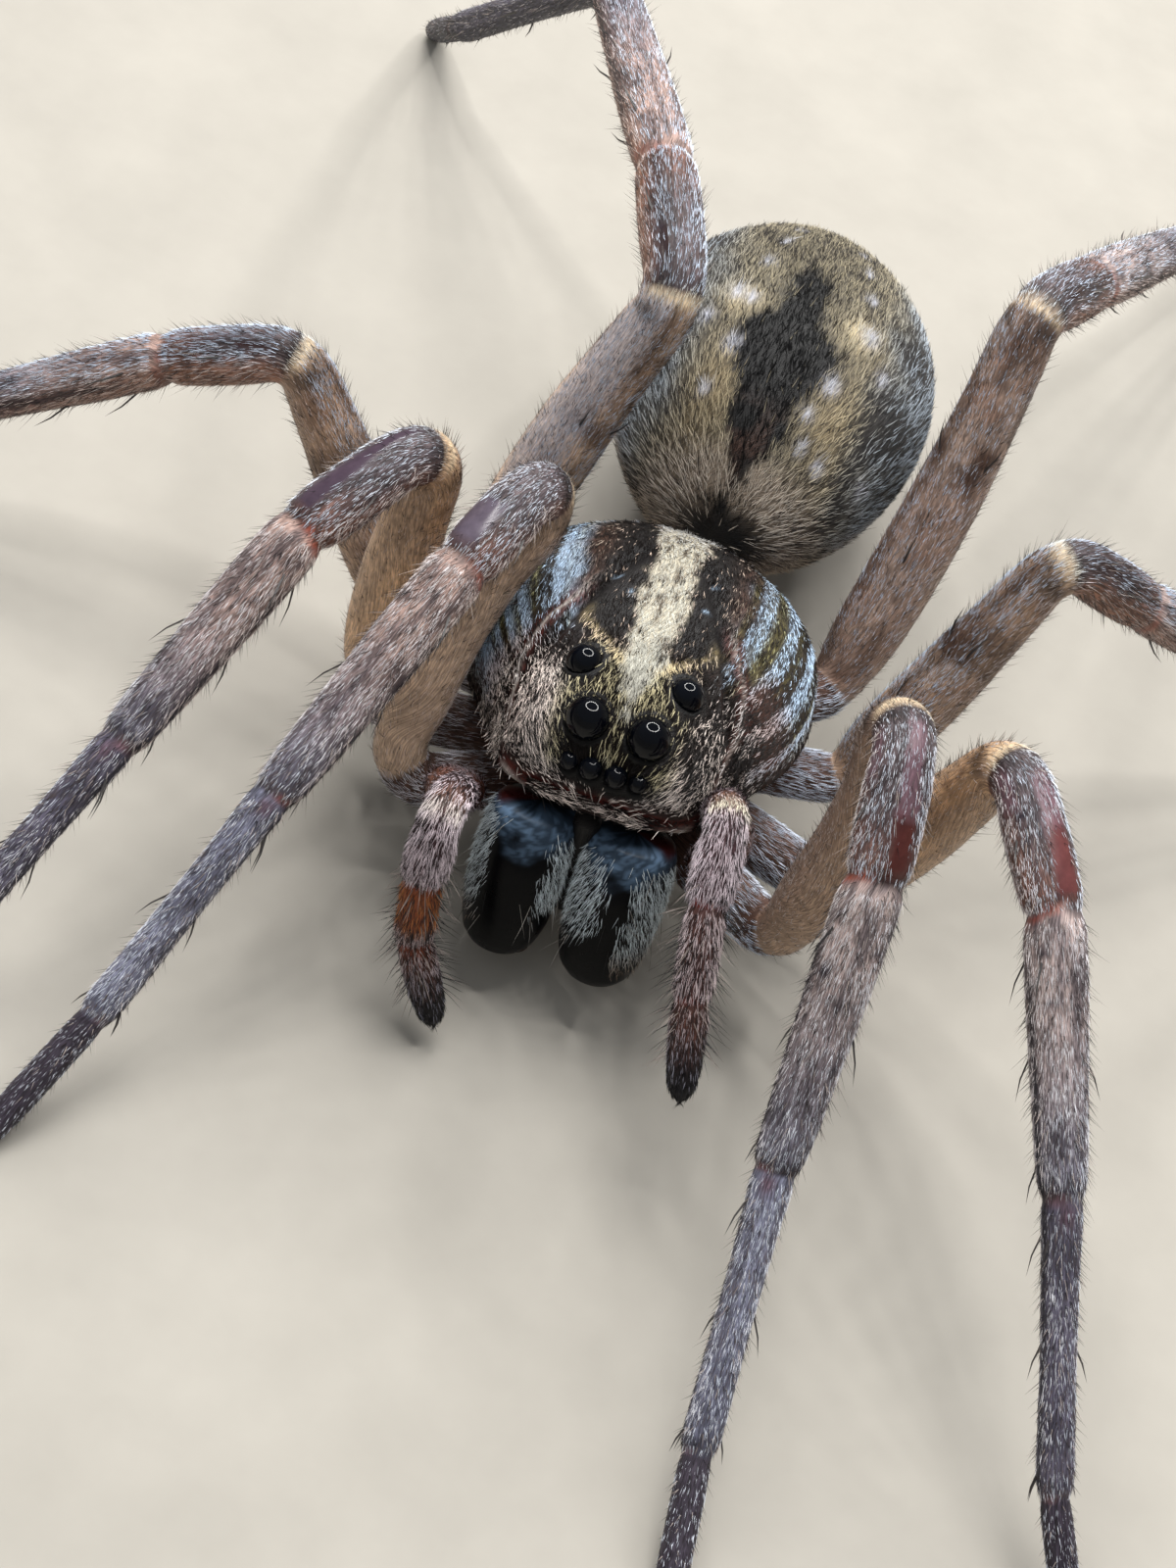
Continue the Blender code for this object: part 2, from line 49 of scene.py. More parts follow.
# ================================================================ the animal's own sizes, as in the solids
BODY_HEIGHT, NOSE_UP, LEFT_UP = 3.11, 10.7, 3.9
CENTRE = (1.647, -4.997)
CARAPACE = (
    (-4.055, 0.04, 0.70, 0.66, 2.1),
    (-4.05, 0.22, 0.78, 0.57, 2.15),
    (-4.04, 0.42, 0.86, 0.50, 2.2),
    (-3.99, 0.80, 1.16, 0.47, 2.3),
    (-3.90, 1.12, 1.46, 0.44, 2.4),
    (-3.76, 1.40, 1.80, 0.40, 2.5),
    (-3.58, 1.62, 2.10, 0.34, 2.5),
    (-3.34, 1.80, 2.34, 0.28, 2.45),
    (-3.00, 1.94, 2.52, 0.20, 2.35),
    (-2.50, 2.12, 2.66, 0.12, 2.25),
    (-1.90, 2.42, 2.78, 0.06, 2.15),
    (-1.20, 2.82, 2.86, 0.02, 2.10),
    (-0.40, 3.10, 2.88, 0.0, 2.05),
    (0.50, 3.22, 2.84, 0.0, 2.05),
    (1.30, 3.17, 2.68, 0.0, 2.05),
    (2.00, 2.92, 2.36, 0.0, 2.0),
    (2.60, 2.50, 1.92, 0.02, 2.0),
    (3.10, 1.98, 1.42, 0.05, 2.0),
    (3.50, 1.42, 0.98, 0.10, 2.0),
    (3.70, 0.96, 0.70, 0.14, 2.0),
    (3.74, 0.50, 0.50, 0.20, 2.0),
    (3.745, 0.04, 0.36, 0.32, 2.0),
)
EYES = (
    ("anterior_median", (0.22, -3.89, 1.36), 0.19),
    ("anterior_lateral", (0.60, -3.83, 1.33), 0.16),
    ("posterior_median", (0.53, -3.50, 2.03), 0.36),
    ("posterior_lateral", (0.89, -2.54, 2.36), 0.30),
)
JAW_TOP, JAW_TIP = (0.84, -3.52, 0.06), (0.89, -3.86, -3.12)
JAW_HALF_WIDTHS = ((0.0, 0.72), (0.12, 0.84), (0.35, 0.88), (0.65, 0.84), (0.88, 0.70), (1.0, 0.44))
JAW_HALF_DEPTHS = ((0.0, 0.52), (0.12, 0.74), (0.35, 0.90), (0.65, 0.84), (0.88, 0.66), (1.0, 0.40))
STERNUM_CENTRE, STERNUM_HALF = (0.0, -0.05, -1.05), (1.75, 2.30, 0.95)
MAXILLA = ((0.62, -1.9, -1.45), (0.62, -2.42, -2.30), 0.44)
ABDOMEN_CENTRE, ABDOMEN_HALF, ABDOMEN_YAW = (0.50, 8.30, 3.36), (3.20, 4.36, 2.62), 0.7
PEDICEL_HALF_WIDTH = 0.40
LENGTHS = {
    1: (6.6, 2.57, 4.95, 4.64, 2.7),
    2: (6.0, 2.56, 4.55, 4.82, 2.6),
    3: (5.95, 2.4, 4.08, 4.98, 2.5),
    4: (7.95, 2.88, 6.1, 7.96, 3.09),
}
STOUT = {1: 1.0, 2: 0.98, 3: 0.95, 4: 1.06}
COXA = {1: (1.15, -1.50, -1.32), 2: (1.45, -0.50, -1.28), 3: (1.45, 0.55, -1.22), 4: (1.10, 1.55, -1.18)}
HIP = {
    "left_1": (3.80, -3.10, -1.72),
    "right_1": (3.80, -2.90, -1.36),
    "left_2": (4.36, -1.22, -1.80),
    "right_2": (4.46, -0.93, -1.34),
    "left_3": (4.08, 1.00, -1.12),
    "right_3": (4.08, 1.00, -1.12),
    "left_4": (3.45, 3.10, -0.85),
    "right_4": (3.58, 3.05, -1.24),
}
STANCE = {
    "left_1": (-77.8, 1.0, 90.6, -38.0, -47.7, -34.0, 3.8),
    "right_1": (-68.3, 4.4, 126.1, -18.0, -31.9, -33.5, -1.4),
    "left_2": (-54.8, 9.1, 76.2, -16.5, -33.7, -38.5, 1.2),
    "right_2": (-53.0, 8.3, 93.9, -22.1, -36.0, -34.6, 6.9),
    "left_3": (34.4, 8.6, 60.6, -33.8, -30.9, -30.4, 0.3),
    "right_3": (0.2, 12.5, 53.0, -27.4, -35.9, -23.9, 4.0),
    "left_4": (71.6, 7.3, 52.5, -21.2, -23.3, -25.2, 0.3),
    "right_4": (67.8, 13.9, 86.6, 5.0, -9.1, -49.2, -1.5),
}
FEMUR_BOW = {1: -0.30, 2: -0.15, 3: 0.05, 4: 0.15}
COXA_HALF = ((0.0, 0.60, 0.56), (0.5, 0.62, 0.56), (0.8, 0.60, 0.56), (1.0, 0.56, 0.54))
FEMUR_HALF = ((0.0, 0.60, 0.57), (0.12, 0.74, 0.66), (0.28, 0.80, 0.69), (0.52, 0.77, 0.68), (0.76, 0.68, 0.63), (1.0, 0.60, 0.60))
PATELLA_HALF = ((0.0, 0.59, 0.60), (0.4, 0.62, 0.61), (0.9, 0.59, 0.59), (1.0, 0.54, 0.54))
TIBIA_HALF = ((0.0, 0.52, 0.53), (0.08, 0.58, 0.585), (0.25, 0.585, 0.585), (0.6, 0.54, 0.54), (0.94, 0.47, 0.48), (1.0, 0.42, 0.43))
META_HALF = ((0.0, 0.37, 0.38), (0.06, 0.41, 0.41), (0.2, 0.38, 0.38), (0.6, 0.35, 0.35), (0.94, 0.36, 0.36), (1.0, 0.29, 0.30))
TARSUS_HALF = ((0.0, 0.27, 0.28), (0.15, 0.30, 0.31), (0.6, 0.30, 0.31), (0.88, 0.27, 0.28), (1.0, 0.22, 0.22))
TOE_HEIGHT = 0.10
PALP_HIP = (1.98, -2.80, -0.92)
PALP_LENGTHS = {"left": (2.72, 1.55, 1.55, 1.72), "right": (2.78, 1.38, 1.34, 1.70)}
PALP_BOW = 0.34
PALP_STANCE = {
    "left": ((-87.0, 74.5), (-80.0, -37.2), (-74.4, -39.0), (-69.6, -39.0)),
    "right": ((-79.0, 41.0), (-104.0, -72.0), (-128.0, -75.0), (-145.0, -51.0)),
}
PALP_HALF = (
    ((0.0, 0.34), (0.3, 0.42), (0.8, 0.42), (1.0, 0.41)),
    ((0.0, 0.42), (0.4, 0.45), (0.85, 0.43), (1.0, 0.37)),
    ((0.0, 0.35), (0.15, 0.39), (0.85, 0.39), (1.0, 0.34)),
    ((0.0, 0.33), (0.25, 0.37), (0.7, 0.33), (0.93, 0.24), (1.0, 0.13)),
)

# ---------------------------------------------------------------- the camera, in millimetres and degrees
CAM_AZIMUTH, CAM_ELEVATION, CAM_ROLL, CAM_DISTANCE = -2.51, 51.05, 23.77, 50.81
CAM_TARGET, CAM_LENS = (-0.22, -2.97, 4.0), 69.06

# ---------------------------------------------------------------- the coat's depth under the solids' faces
COAT_LEG, COAT_FOOT, COAT_BODY, COAT_ABDOMEN = 0.07, 0.045, 0.07, 0.13


# ================================================================ small maths
def unit(v):
    v = np.asarray(v, float)
    return v / np.maximum(np.linalg.norm(v, axis=-1, keepdims=True), 1e-12)


def curve(table, t):
    """Monotone cubic through a table's rows (key, values...), at every t."""
    rows = np.array(table, float)
    x, y = rows[:, 0], rows[:, 1:]
    h = np.diff(x)[:, None]
    slope = np.diff(y, axis=0) / h
    m = np.zeros_like(y)
    m[0], m[-1] = slope[0], slope[-1]
    if len(x) > 2:
        a, b = slope[:-1], slope[1:]
        w1, w2 = 2 * h[1:] + h[:-1], h[1:] + 2 * h[:-1]
        same = (a * b) > 0
        safe_a, safe_b = np.where(same, a, 1.0), np.where(same, b, 1.0)
        m[1:-1] = np.where(same, (w1 + w2) / (w1 / safe_a + w2 / safe_b), 0.0)
    t = np.clip(np.asarray(t, float), x[0], x[-1])
    i = np.clip(np.searchsorted(x, t, side="right") - 1, 0, len(x) - 2)
    hi = (x[i + 1] - x[i])[..., None]
    u = (t - x[i])[..., None] / hi
    return (
        (1 + 2 * u) * (1 - u) ** 2 * y[i] + u * (1 - u) ** 2 * hi * m[i] + u * u * (3 - 2 * u) * y[i + 1] + u * u * (u - 1) * hi * m[i + 1]
    )


def step(low, high, x):
    """0 below low, 1 above high, eased between."""
    t = np.clip((np.asarray(x, float) - low) / (high - low), 0, 1)
    return t * t * (3 - 2 * t)


def bump(x, centre, width):
    """A soft hill of height 1."""
    return np.exp(-(((np.asarray(x, float) - centre) / width) ** 2))


def body_axes():
    p, r = math.radians(-NOSE_UP), math.radians(-LEFT_UP)
    pitch = np.array([[1, 0, 0], [0, math.cos(p), -math.sin(p)], [0, math.sin(p), math.cos(p)]])
    roll = np.array([[math.cos(r), 0, math.sin(r)], [0, 1, 0], [-math.sin(r), 0, math.cos(r)]])
    return pitch @ roll


AXES = body_axes()
SEAT = np.array([CENTRE[0], CENTRE[1], BODY_HEIGHT])


def from_body(p):
    return np.asarray(p, float) @ AXES.T + SEAT


def to_body(p):
    return (np.asarray(p, float) - SEAT) @ AXES


def hashed(i, j, k, seed):
    """A pseudo-random number from 0 to 1 for each cell of a grid."""
    n = (i.astype(np.int64) * 73856093) ^ (j.astype(np.int64) * 19349663) ^ (k.astype(np.int64) * 83492791) ^ (seed * 2654435761)
    n = n & 0xFFFFFFFF
    n = ((n ^ (n >> 16)) * 73244475) & 0xFFFFFFFF
    n = ((n ^ (n >> 16)) * 73244475) & 0xFFFFFFFF
    return ((n ^ (n >> 16)) & 0xFFFFFF) / float(0xFFFFFF)


def noise(p, size, seed=0):
    """Smooth noise from 0 to 1 with blobs of this size, in the units of p."""
    q = np.asarray(p, float) / size
    f = np.floor(q)
    u = q - f
    u = u * u * (3 - 2 * u)
    i, j, k = (f[..., a].astype(np.int64) for a in range(3))
    total = 0.0
    for a in (0, 1):
        for b in (0, 1):
            for c in (0, 1):
                w = (u[..., 0] if a else 1 - u[..., 0]) * (u[..., 1] if b else 1 - u[..., 1]) * (u[..., 2] if c else 1 - u[..., 2])
                total = total + w * hashed(i + a, j + b, k + c, seed)
    return total


def rgb(r, g, b):
    """A colour as a screen shows it, made linear."""
    c = np.array([r, g, b], float)
    return np.where(c <= 0.04045, c / 12.92, ((c + 0.055) / 1.055) ** 2.4)


def mix(a, b, t):
    t = np.asarray(t, float)[..., None]
    return a * (1 - t) + b * t


# ================================================================ the limbs' centre lines
def bend(before, corner, after, radius, steps):
    a, b = unit(np.subtract(before, corner)), unit(np.subtract(after, corner))
    half = math.acos(max(-1.0, min(1.0, float(a @ b)))) / 2
    reach = radius / math.tan(half)
    hub = corner + unit(a + b) * radius / math.sin(half)
    start, end = corner + a * reach, corner + b * reach
    x = unit(start - hub)
    swing = math.pi - 2 * half
    y = unit((end - hub) - ((end - hub) @ x) * x)
    t = np.linspace(0, swing, 2 * steps + 1)[:, None]
    return hub + radius * (np.cos(t) * x + np.sin(t) * y)


def leg_points(name, side, number, stance):
    heading, lean, femur, patella, tibia, meta, turn = (math.radians(a) for a in stance)
    mirror = np.array([side, 1.0, 1.0])
    out = np.array([math.cos(heading), math.sin(heading), 0.0])
    across = np.array([-math.sin(heading), math.cos(heading), 0.0])
    up = np.array([0, 0, 1.0]) * math.cos(lean) + across * math.sin(lean)
    normal = np.cross(out, up)
    points = [from_body(np.array(COXA[number]) * mirror), from_body(np.array(HIP[name]) * mirror)]
    lengths = LENGTHS[number]
    for k, climb in enumerate((femur, patella, tibia, meta)):
        way = out * math.cos(climb) + up * math.sin(climb)
        if k >= 2:
            way = way * math.cos(turn) + normal * math.sin(turn)
        points.append(points[-1] + lengths[k] * way * mirror)
    level = out * math.cos(turn) + normal * math.sin(turn)
    level = unit([level[0] * side, level[1], 0.0])
    drop = points[-1][2] - TOE_HEIGHT
    points.append(points[-1] + level * math.sqrt(lengths[4] ** 2 - drop**2) - np.array([0, 0, drop]))
    return points, normal * mirror * side


def knee_corner(hip, knee, shin, radius, half):
    a, b = unit(hip - knee), unit(shin - knee)
    inner = math.acos(max(-1.0, min(1.0, float(a @ b)))) / 2
    short = radius / math.sin(inner) - radius - half + 0.33
    return knee - b * max(0.0, short) / math.cos(inner)


def run(start, end, table, segment, count, bow=0.0, first=0.0, last=1.0):
    """Rows (x, y, z, half height, half width, segment + share) along one straight or bowed piece."""
    t = np.linspace(0, 1, count)
    values = curve(table, t)
    centre = start + (end - start) * t[:, None] + bow * (4 * t * (1 - t))[:, None]
    return np.column_stack([centre, values[:, 0], values[:, -1], segment + first + (last - first) * t])


def arc(points, height, width, first, last):
    n = len(points)
    return np.column_stack([points, np.full(n, height), np.full(n, width), np.linspace(first, last, n)])


def even(rows, spacing, soften):
    """The rows again at even spacing, with the corners rounded over a short length."""
    keep = np.concatenate([[True], np.linalg.norm(np.diff(rows[:, :3], axis=0), axis=1) > 1e-6])
    rows = rows[keep]
    s = np.concatenate([[0], np.cumsum(np.linalg.norm(np.diff(rows[:, :3], axis=0), axis=1))])
    n = int(math.ceil(s[-1] / spacing)) + 1
    at = np.linspace(0, s[-1], n)
    out = np.column_stack([np.interp(at, s, rows[:, k]) for k in range(rows.shape[1])])
    reach = int(3 * soften / spacing) + 1
    taps = np.arange(-reach, reach + 1)
    kernel = np.exp(-0.5 * (taps * spacing / soften) ** 2)
    kernel /= kernel.sum()
    padded = np.concatenate([2 * out[:1, :5] - out[reach:0:-1, :5], out[:, :5], 2 * out[-1:, :5] - out[-2 : -reach - 2 : -1, :5]])
    for k in range(5):
        out[:, k] = np.convolve(padded[:, k], kernel, "valid")
    return out, at


# ================================================================ patches of skin
class Patch:
    """A grid of skin, closed round its columns, with what the coat needs at every point."""

    def __init__(self, name, points, lie, **facts):
        self.name = name
        self.P = points  # (rows, columns + 1, 3), the last column repeats the first
        self.facts = facts
        self.N = self.normals()
        lie = np.broadcast_to(lie, self.P.shape)
        self.D = unit(lie - (lie * self.N).sum(-1, keepdims=True) * self.N)

    def normals(self):
        p = self.P
        rows = np.gradient(p, axis=0)
        ring = p[:, :-1]
        cols = (np.roll(ring, -1, axis=1) - np.roll(ring, 1, axis=1)) / 2
        cols = np.concatenate([cols, cols[:, :1]], axis=1)
        n = np.cross(cols, rows)
        # the first and last rows can be a point, so they take their neighbours' normals
        n[0], n[-1] = n[1], n[-2]
        if getattr(self, "turned", None) is None:
            middle = p[:, :-1].mean(axis=1, keepdims=True)
            self.turned = np.sign((n * (p - middle)).sum())
        return unit(n * self.turned)

    def push(self, amount):
        """Moves the skin along its normal by this many millimetres."""
        self.P = self.P + self.N * np.asarray(amount)[..., None]
        self.P[:, -1] = self.P[:, 0]
        self.N = self.normals()


def tube(name, rows, normal, side, columns, coat, spacing=0.11, soften=0.13, necks=(), cap=0.2, **facts):
    """A limb's skin from its rows of centre and half sizes."""
    line, s = even(rows, spacing, soften)
    centre, high, wide, pos = line[:, :3], line[:, 3].copy(), line[:, 4].copy(), line[:, 5]
    for where, depth, reach in necks:
        at = np.interp(where, pos, s)
        dip = 1 - depth * np.exp(-(((s - at) / reach) ** 2))
        high, wide = high * dip, wide * dip
    inset = coat(pos)
    high, wide = high - inset, wide - inset
    left = s[-1] - s
    round_off = np.sqrt(np.clip(1 - np.clip(1 - left / cap, 0, 1) ** 2, 1e-4, 1))
    start_off = np.sqrt(np.clip(1 - np.clip(1 - s / 0.2, 0, 1) ** 2, 1e-4, 1))
    high, wide = high * round_off * start_off, wide * round_off * start_off
    tangent = unit(np.gradient(centre, axis=0))
    across = unit(normal - (tangent @ normal)[:, None] * tangent)
    up = np.cross(across, tangent)
    angle = np.linspace(0, 2 * math.pi, columns + 1)[None, :]
    points = (
        centre[:, None] + (np.cos(angle) * wide[:, None])[..., None] * across[:, None] + (np.sin(angle) * high[:, None])[..., None] * up[:, None]
    )
    points[:, -1] = points[:, 0]
    shape = points.shape[:2]
    return Patch(
        name,
        points,
        tangent[:, None],
        pos=np.broadcast_to(pos[:, None], shape),
        s=np.broadcast_to(s[:, None], shape),
        pro=np.broadcast_to(np.cos(angle) * side, shape),
        dorsal=np.broadcast_to(np.sin(angle), shape),
        angle=np.broadcast_to(angle, shape),
        around=np.broadcast_to(angle * ((high + wide) / 2)[:, None], shape),
        line=centre,
        tangent=tangent,
        up=up,
        across=across * side,
        side=side,
        half=(high + wide) / 2,
        **facts,
    )


def leg_patch(name):
    word, number = name.split("_")
    side, number = (1 if word == "left" else -1), int(number)
    points, normal = leg_points(name, side, number, STANCE[name])
    root, hip, knee, shin, ankle, heel, toe = points
    size = STOUT[number]
    radius = 0.66 * size
    knee = knee_corner(hip, knee, shin, radius, 0.58 * size)
    hip_arc = bend(root, hip, knee, 0.70 * size, 6)
    knee_arc = bend(hip, knee, shin, radius, 10)
    bow = unit(normal) * side * FEMUR_BOW[number]
    scale = np.array([1, 1, 1, size, size, 1])
    rows = np.concatenate([
        run(root, hip_arc[0], COXA_HALF, 0, 18, 0.0, 0.0, 0.75),
        arc(hip_arc[1:7], 0.55, 0.54, 0.8, 1.0),
        arc(hip_arc[7:], 0.55, 0.54, 1.01, 1.06),
        run(hip_arc[-1], knee_arc[0], FEMUR_HALF, 1, 60, bow, 0.07, 0.9),
        arc(knee_arc[1:11], 0.58, 0.57, 1.91, 2.0),
        arc(knee_arc[11:], 0.58, 0.57, 2.02, 2.2),
        run(knee_arc[-1], shin, PATELLA_HALF, 2, 24, 0.0, 0.22, 1.0),
        run(shin, ankle, TIBIA_HALF, 3, 44, 0.0, 0.002, 1.0),
        run(ankle, heel, META_HALF, 4, 44, 0.0, 0.002, 1.0),
        run(heel, toe, TARSUS_HALF, 5, 26, 0.0, 0.002, 1.0),
    ]) * scale
    necks = ((1.0, 0.05, 0.12), (3.0, 0.10, 0.11), (4.0, 0.10, 0.10), (5.0, 0.12, 0.09))
    coat = lambda pos: COAT_LEG + (COAT_FOOT - COAT_LEG) * step(3.7, 5.0, pos)
    patch = tube(f"leg_{name}", rows, normal, side, 30, coat, necks=necks, kind="leg", number=number, word=word)
    patch.P[..., 2] = np.maximum(patch.P[..., 2], 0.02)
    patch.N = patch.normals()
    return patch


def palp_patch(side, word):
    mirror = np.array([side, 1.0, 1.0])
    points = [from_body(np.array(PALP_HIP) * mirror)]
    for length, (heading, climb) in zip(PALP_LENGTHS[word], PALP_STANCE[word]):
        h, c = math.radians(heading), math.radians(climb)
        points.append(points[-1] + length * np.array([math.cos(h) * math.cos(c), math.sin(h) * math.cos(c), math.sin(c)]) * mirror)
    hip, knee, elbow, wrist, tip = points
    normal = unit(np.cross(hip - knee, elbow - knee))
    knee = knee_corner(hip, knee, elbow, 0.48, 0.41)
    knee_arc = bend(hip, knee, elbow, 0.48, 8)
    outwards = AXES @ np.array([side, 0.0, 0.0])
    rows = np.concatenate([
        run(hip, knee_arc[0], PALP_HALF[0], 0, 30, outwards * PALP_BOW, 0.0, 0.92),
        arc(knee_arc[1:9], 0.41, 0.41, 0.93, 1.0),
        arc(knee_arc[9:], 0.41, 0.41, 1.02, 1.2),
        run(knee_arc[-1], elbow, PALP_HALF[1], 1, 18, 0.0, 0.22, 1.0),
        run(elbow, wrist, PALP_HALF[2], 2, 22, 0.0, 0.002, 1.0),
        run(wrist, tip, PALP_HALF[3], 3, 24, 0.0, 0.002, 1.0),
    ])
    across = normal
    coat = lambda pos: 0.055 + 0 * pos
    necks = ((2.0, 0.10, 0.08), (3.0, 0.08, 0.07))
    patch = tube(f"palp_{word}", rows, across, side, 26, coat, spacing=0.085, soften=0.07, necks=necks, cap=0.16, kind="palp", number=0, word=word)
    return patch


def carapace_patch():
    rows = np.array(CARAPACE)
    gaps = np.linalg.norm(np.diff(rows[:, :4], axis=0), axis=1)
    length = np.concatenate([[0], np.cumsum(np.maximum(gaps, 0.02))])
    table = np.column_stack([length, rows])
    # closer rows over the face, where the eyes are
    fine = np.linspace(0, length[-1], 190)
    y, half, ridge, margin, square = curve(table, fine).T
    arch = np.linspace(0, math.pi, 105)
    under = np.linspace(-1, 1, 18)[1:-1]
    c, s = np.cos(arch), np.sin(arch)
    x_top = half[:, None] * np.sign(c) * np.abs(c) ** (2 / square[:, None])
    z_top = margin[:, None] + (ridge - margin)[:, None] * np.abs(s) ** (2 / square[:, None])
    x_low = half[:, None] * under[None, :]
    z_low = margin[:, None] - 0.04 * np.cos(under[None, :] * math.pi / 2)
    x, z = np.concatenate([x_top, x_low], 1), np.concatenate([z_top, z_low], 1)
    x, z = np.concatenate([x, x[:, :1]], 1), np.concatenate([z, z[:, :1]], 1)
    yy = np.broadcast_to(y[:, None], x.shape)
    local = np.stack([x, yy, z], -1)
    top = np.concatenate([s, -np.cos(under * math.pi / 2), s[:1]])
    patch = Patch("carapace", from_body(local), AXES @ np.array([0, -1.0, 0]), kind="carapace", top=np.broadcast_to(top, x.shape))
    patch.push(np.full(x.shape, -COAT_BODY))
    patch.facts["local"] = to_body(patch.P)
    # the hair lies forwards along lines that follow the outline
    along = np.gradient(patch.P, axis=0)
    forwards = AXES @ np.array([0, -1.0, 0])
    along = unit(along) * np.sign((along @ forwards) + 1e-9)[..., None]
    along = unit(along + 0.25 * forwards)
    patch.D = unit(along - (along * patch.N).sum(-1, keepdims=True) * patch.N)
    return patch


def eye_places():
    for side, word in ((1, "left"), (-1, "right")):
        for name, centre, radius in EYES:
            yield f"eye_{name}_{word}", from_body(np.array(centre) * np.array([side, 1, 1])), radius, side


def relief_carapace(patch):
    """The head's edges, the groove on the back, and a low collar round every eye."""
    x, y, z = np.moveaxis(patch.facts["local"], -1, 0)
    top = np.clip(patch.facts["top"], 0, 1)
    lift = np.zeros(x.shape)
    # the pit and groove where the back muscles hang
    lift -= 0.07 * bump(x, 0, 0.07) * step(0.35, 0.6, y) * (1 - step(1.5, 1.8, y)) * top
    # the head stands out from the chest between two shallow valleys
    edge = 0.55 + 0.42 * (0.6 - y)
    lift -= 0.11 * bump(np.abs(x) - edge, 0, 0.15) * step(-2.6, -1.8, y) * (1 - step(0.3, 0.8, y))
    # a groove over the face's lower edge
    lift -= 0.06 * bump(z - (0.80 - 0.12 * np.abs(x) ** 1.5), 0, 0.07) * step(-2.9, -3.3, y)
    # shallow furrows that run out from the middle over the chest
    angle = np.arctan2(y - 0.9, np.abs(x))
    lift -= 0.025 * step(0.8, 1.4, np.hypot(x, y - 0.9)) * np.clip(np.cos(angle * 9), 0, 1) ** 3 * (1 - step(2.7, 3.1, np.hypot(x, (y - 0.9) * 0.9)))
    for _, centre, radius, _ in eye_places():
        d = np.linalg.norm(patch.P - centre, axis=-1)
        if radius > 0.25:
            lift += 0.055 * bump(d, radius + 0.05, 0.055)
        else:
            lift += 0.02 * bump(d, radius + 0.08, 0.05) - 0.07 * bump(d, radius - 0.02, 0.07)
    patch.push(lift)
    patch.facts["local"] = to_body(patch.P)


def abdomen_frame():
    yaw = math.radians(-ABDOMEN_YAW)
    turn = np.array([[math.cos(yaw), -math.sin(yaw), 0], [math.sin(yaw), math.cos(yaw), 0], [0, 0, 1]])
    return turn, np.array(ABDOMEN_CENTRE) + np.array([CENTRE[0], CENTRE[1], 0])


def abdomen_patch():
    turn, base = abdomen_frame()
    lat = np.linspace(0, math.pi, 110)[:, None]
    lon = np.linspace(0, 2 * math.pi, 121)[None, :]
    y = -np.cos(lat) + 0 * lon
    x, z = np.sin(lat) * np.cos(lon), np.sin(lat) * np.sin(lon)
    taper = 1.0 + 0.06 * y - 0.10 * np.maximum(0.0, y) ** 2
    local = np.stack([x * taper, y, z * (1.0 - 0.06 * y)], -1)
    points = (local * np.array(ABDOMEN_HALF)) @ turn.T + base
    points[:, -1] = points[:, 0]
    patch = Patch("abdomen", points, turn @ np.array([0, 1.0, 0]), kind="abdomen", local=local, lat=lat + 0 * lon, lon=lon + 0 * lat)
    patch.push(np.full(y.shape, -COAT_ABDOMEN))
    return patch


def round_patch(name, line, half, normal, columns, **facts):
    """A short plain limb: points, half sizes, and a direction for the ring's side."""
    line = np.asarray(line, float)
    rows = np.column_stack([line, half, half, np.linspace(0, 1, len(line))])
    return tube(name, rows, np.asarray(normal, float), 1, columns, lambda pos: 0 * pos, spacing=0.06, soften=0.04, **facts)


def sternum_patch():
    lat = np.linspace(0, math.pi, 60)[:, None]
    lon = np.linspace(0, 2 * math.pi, 73)[None, :]
    y = -np.cos(lat) + 0 * lon
    p = np.stack([np.sin(lat) * np.cos(lon), y, np.sin(lat) * np.sin(lon)], -1) * np.array(STERNUM_HALF) + np.array(STERNUM_CENTRE)
    p[..., 0] *= 1.0 - 0.12 * (p[..., 1] / STERNUM_HALF[1])
    points = from_body(p)
    points[:, -1] = points[:, 0]
    patch = Patch("sternum", points, AXES @ np.array([0, 1.0, 0]), kind="sternum", lat=lat + 0 * lon, lon=lon + 0 * lat)
    patch.push(np.full(y.shape, -0.06))
    return patch


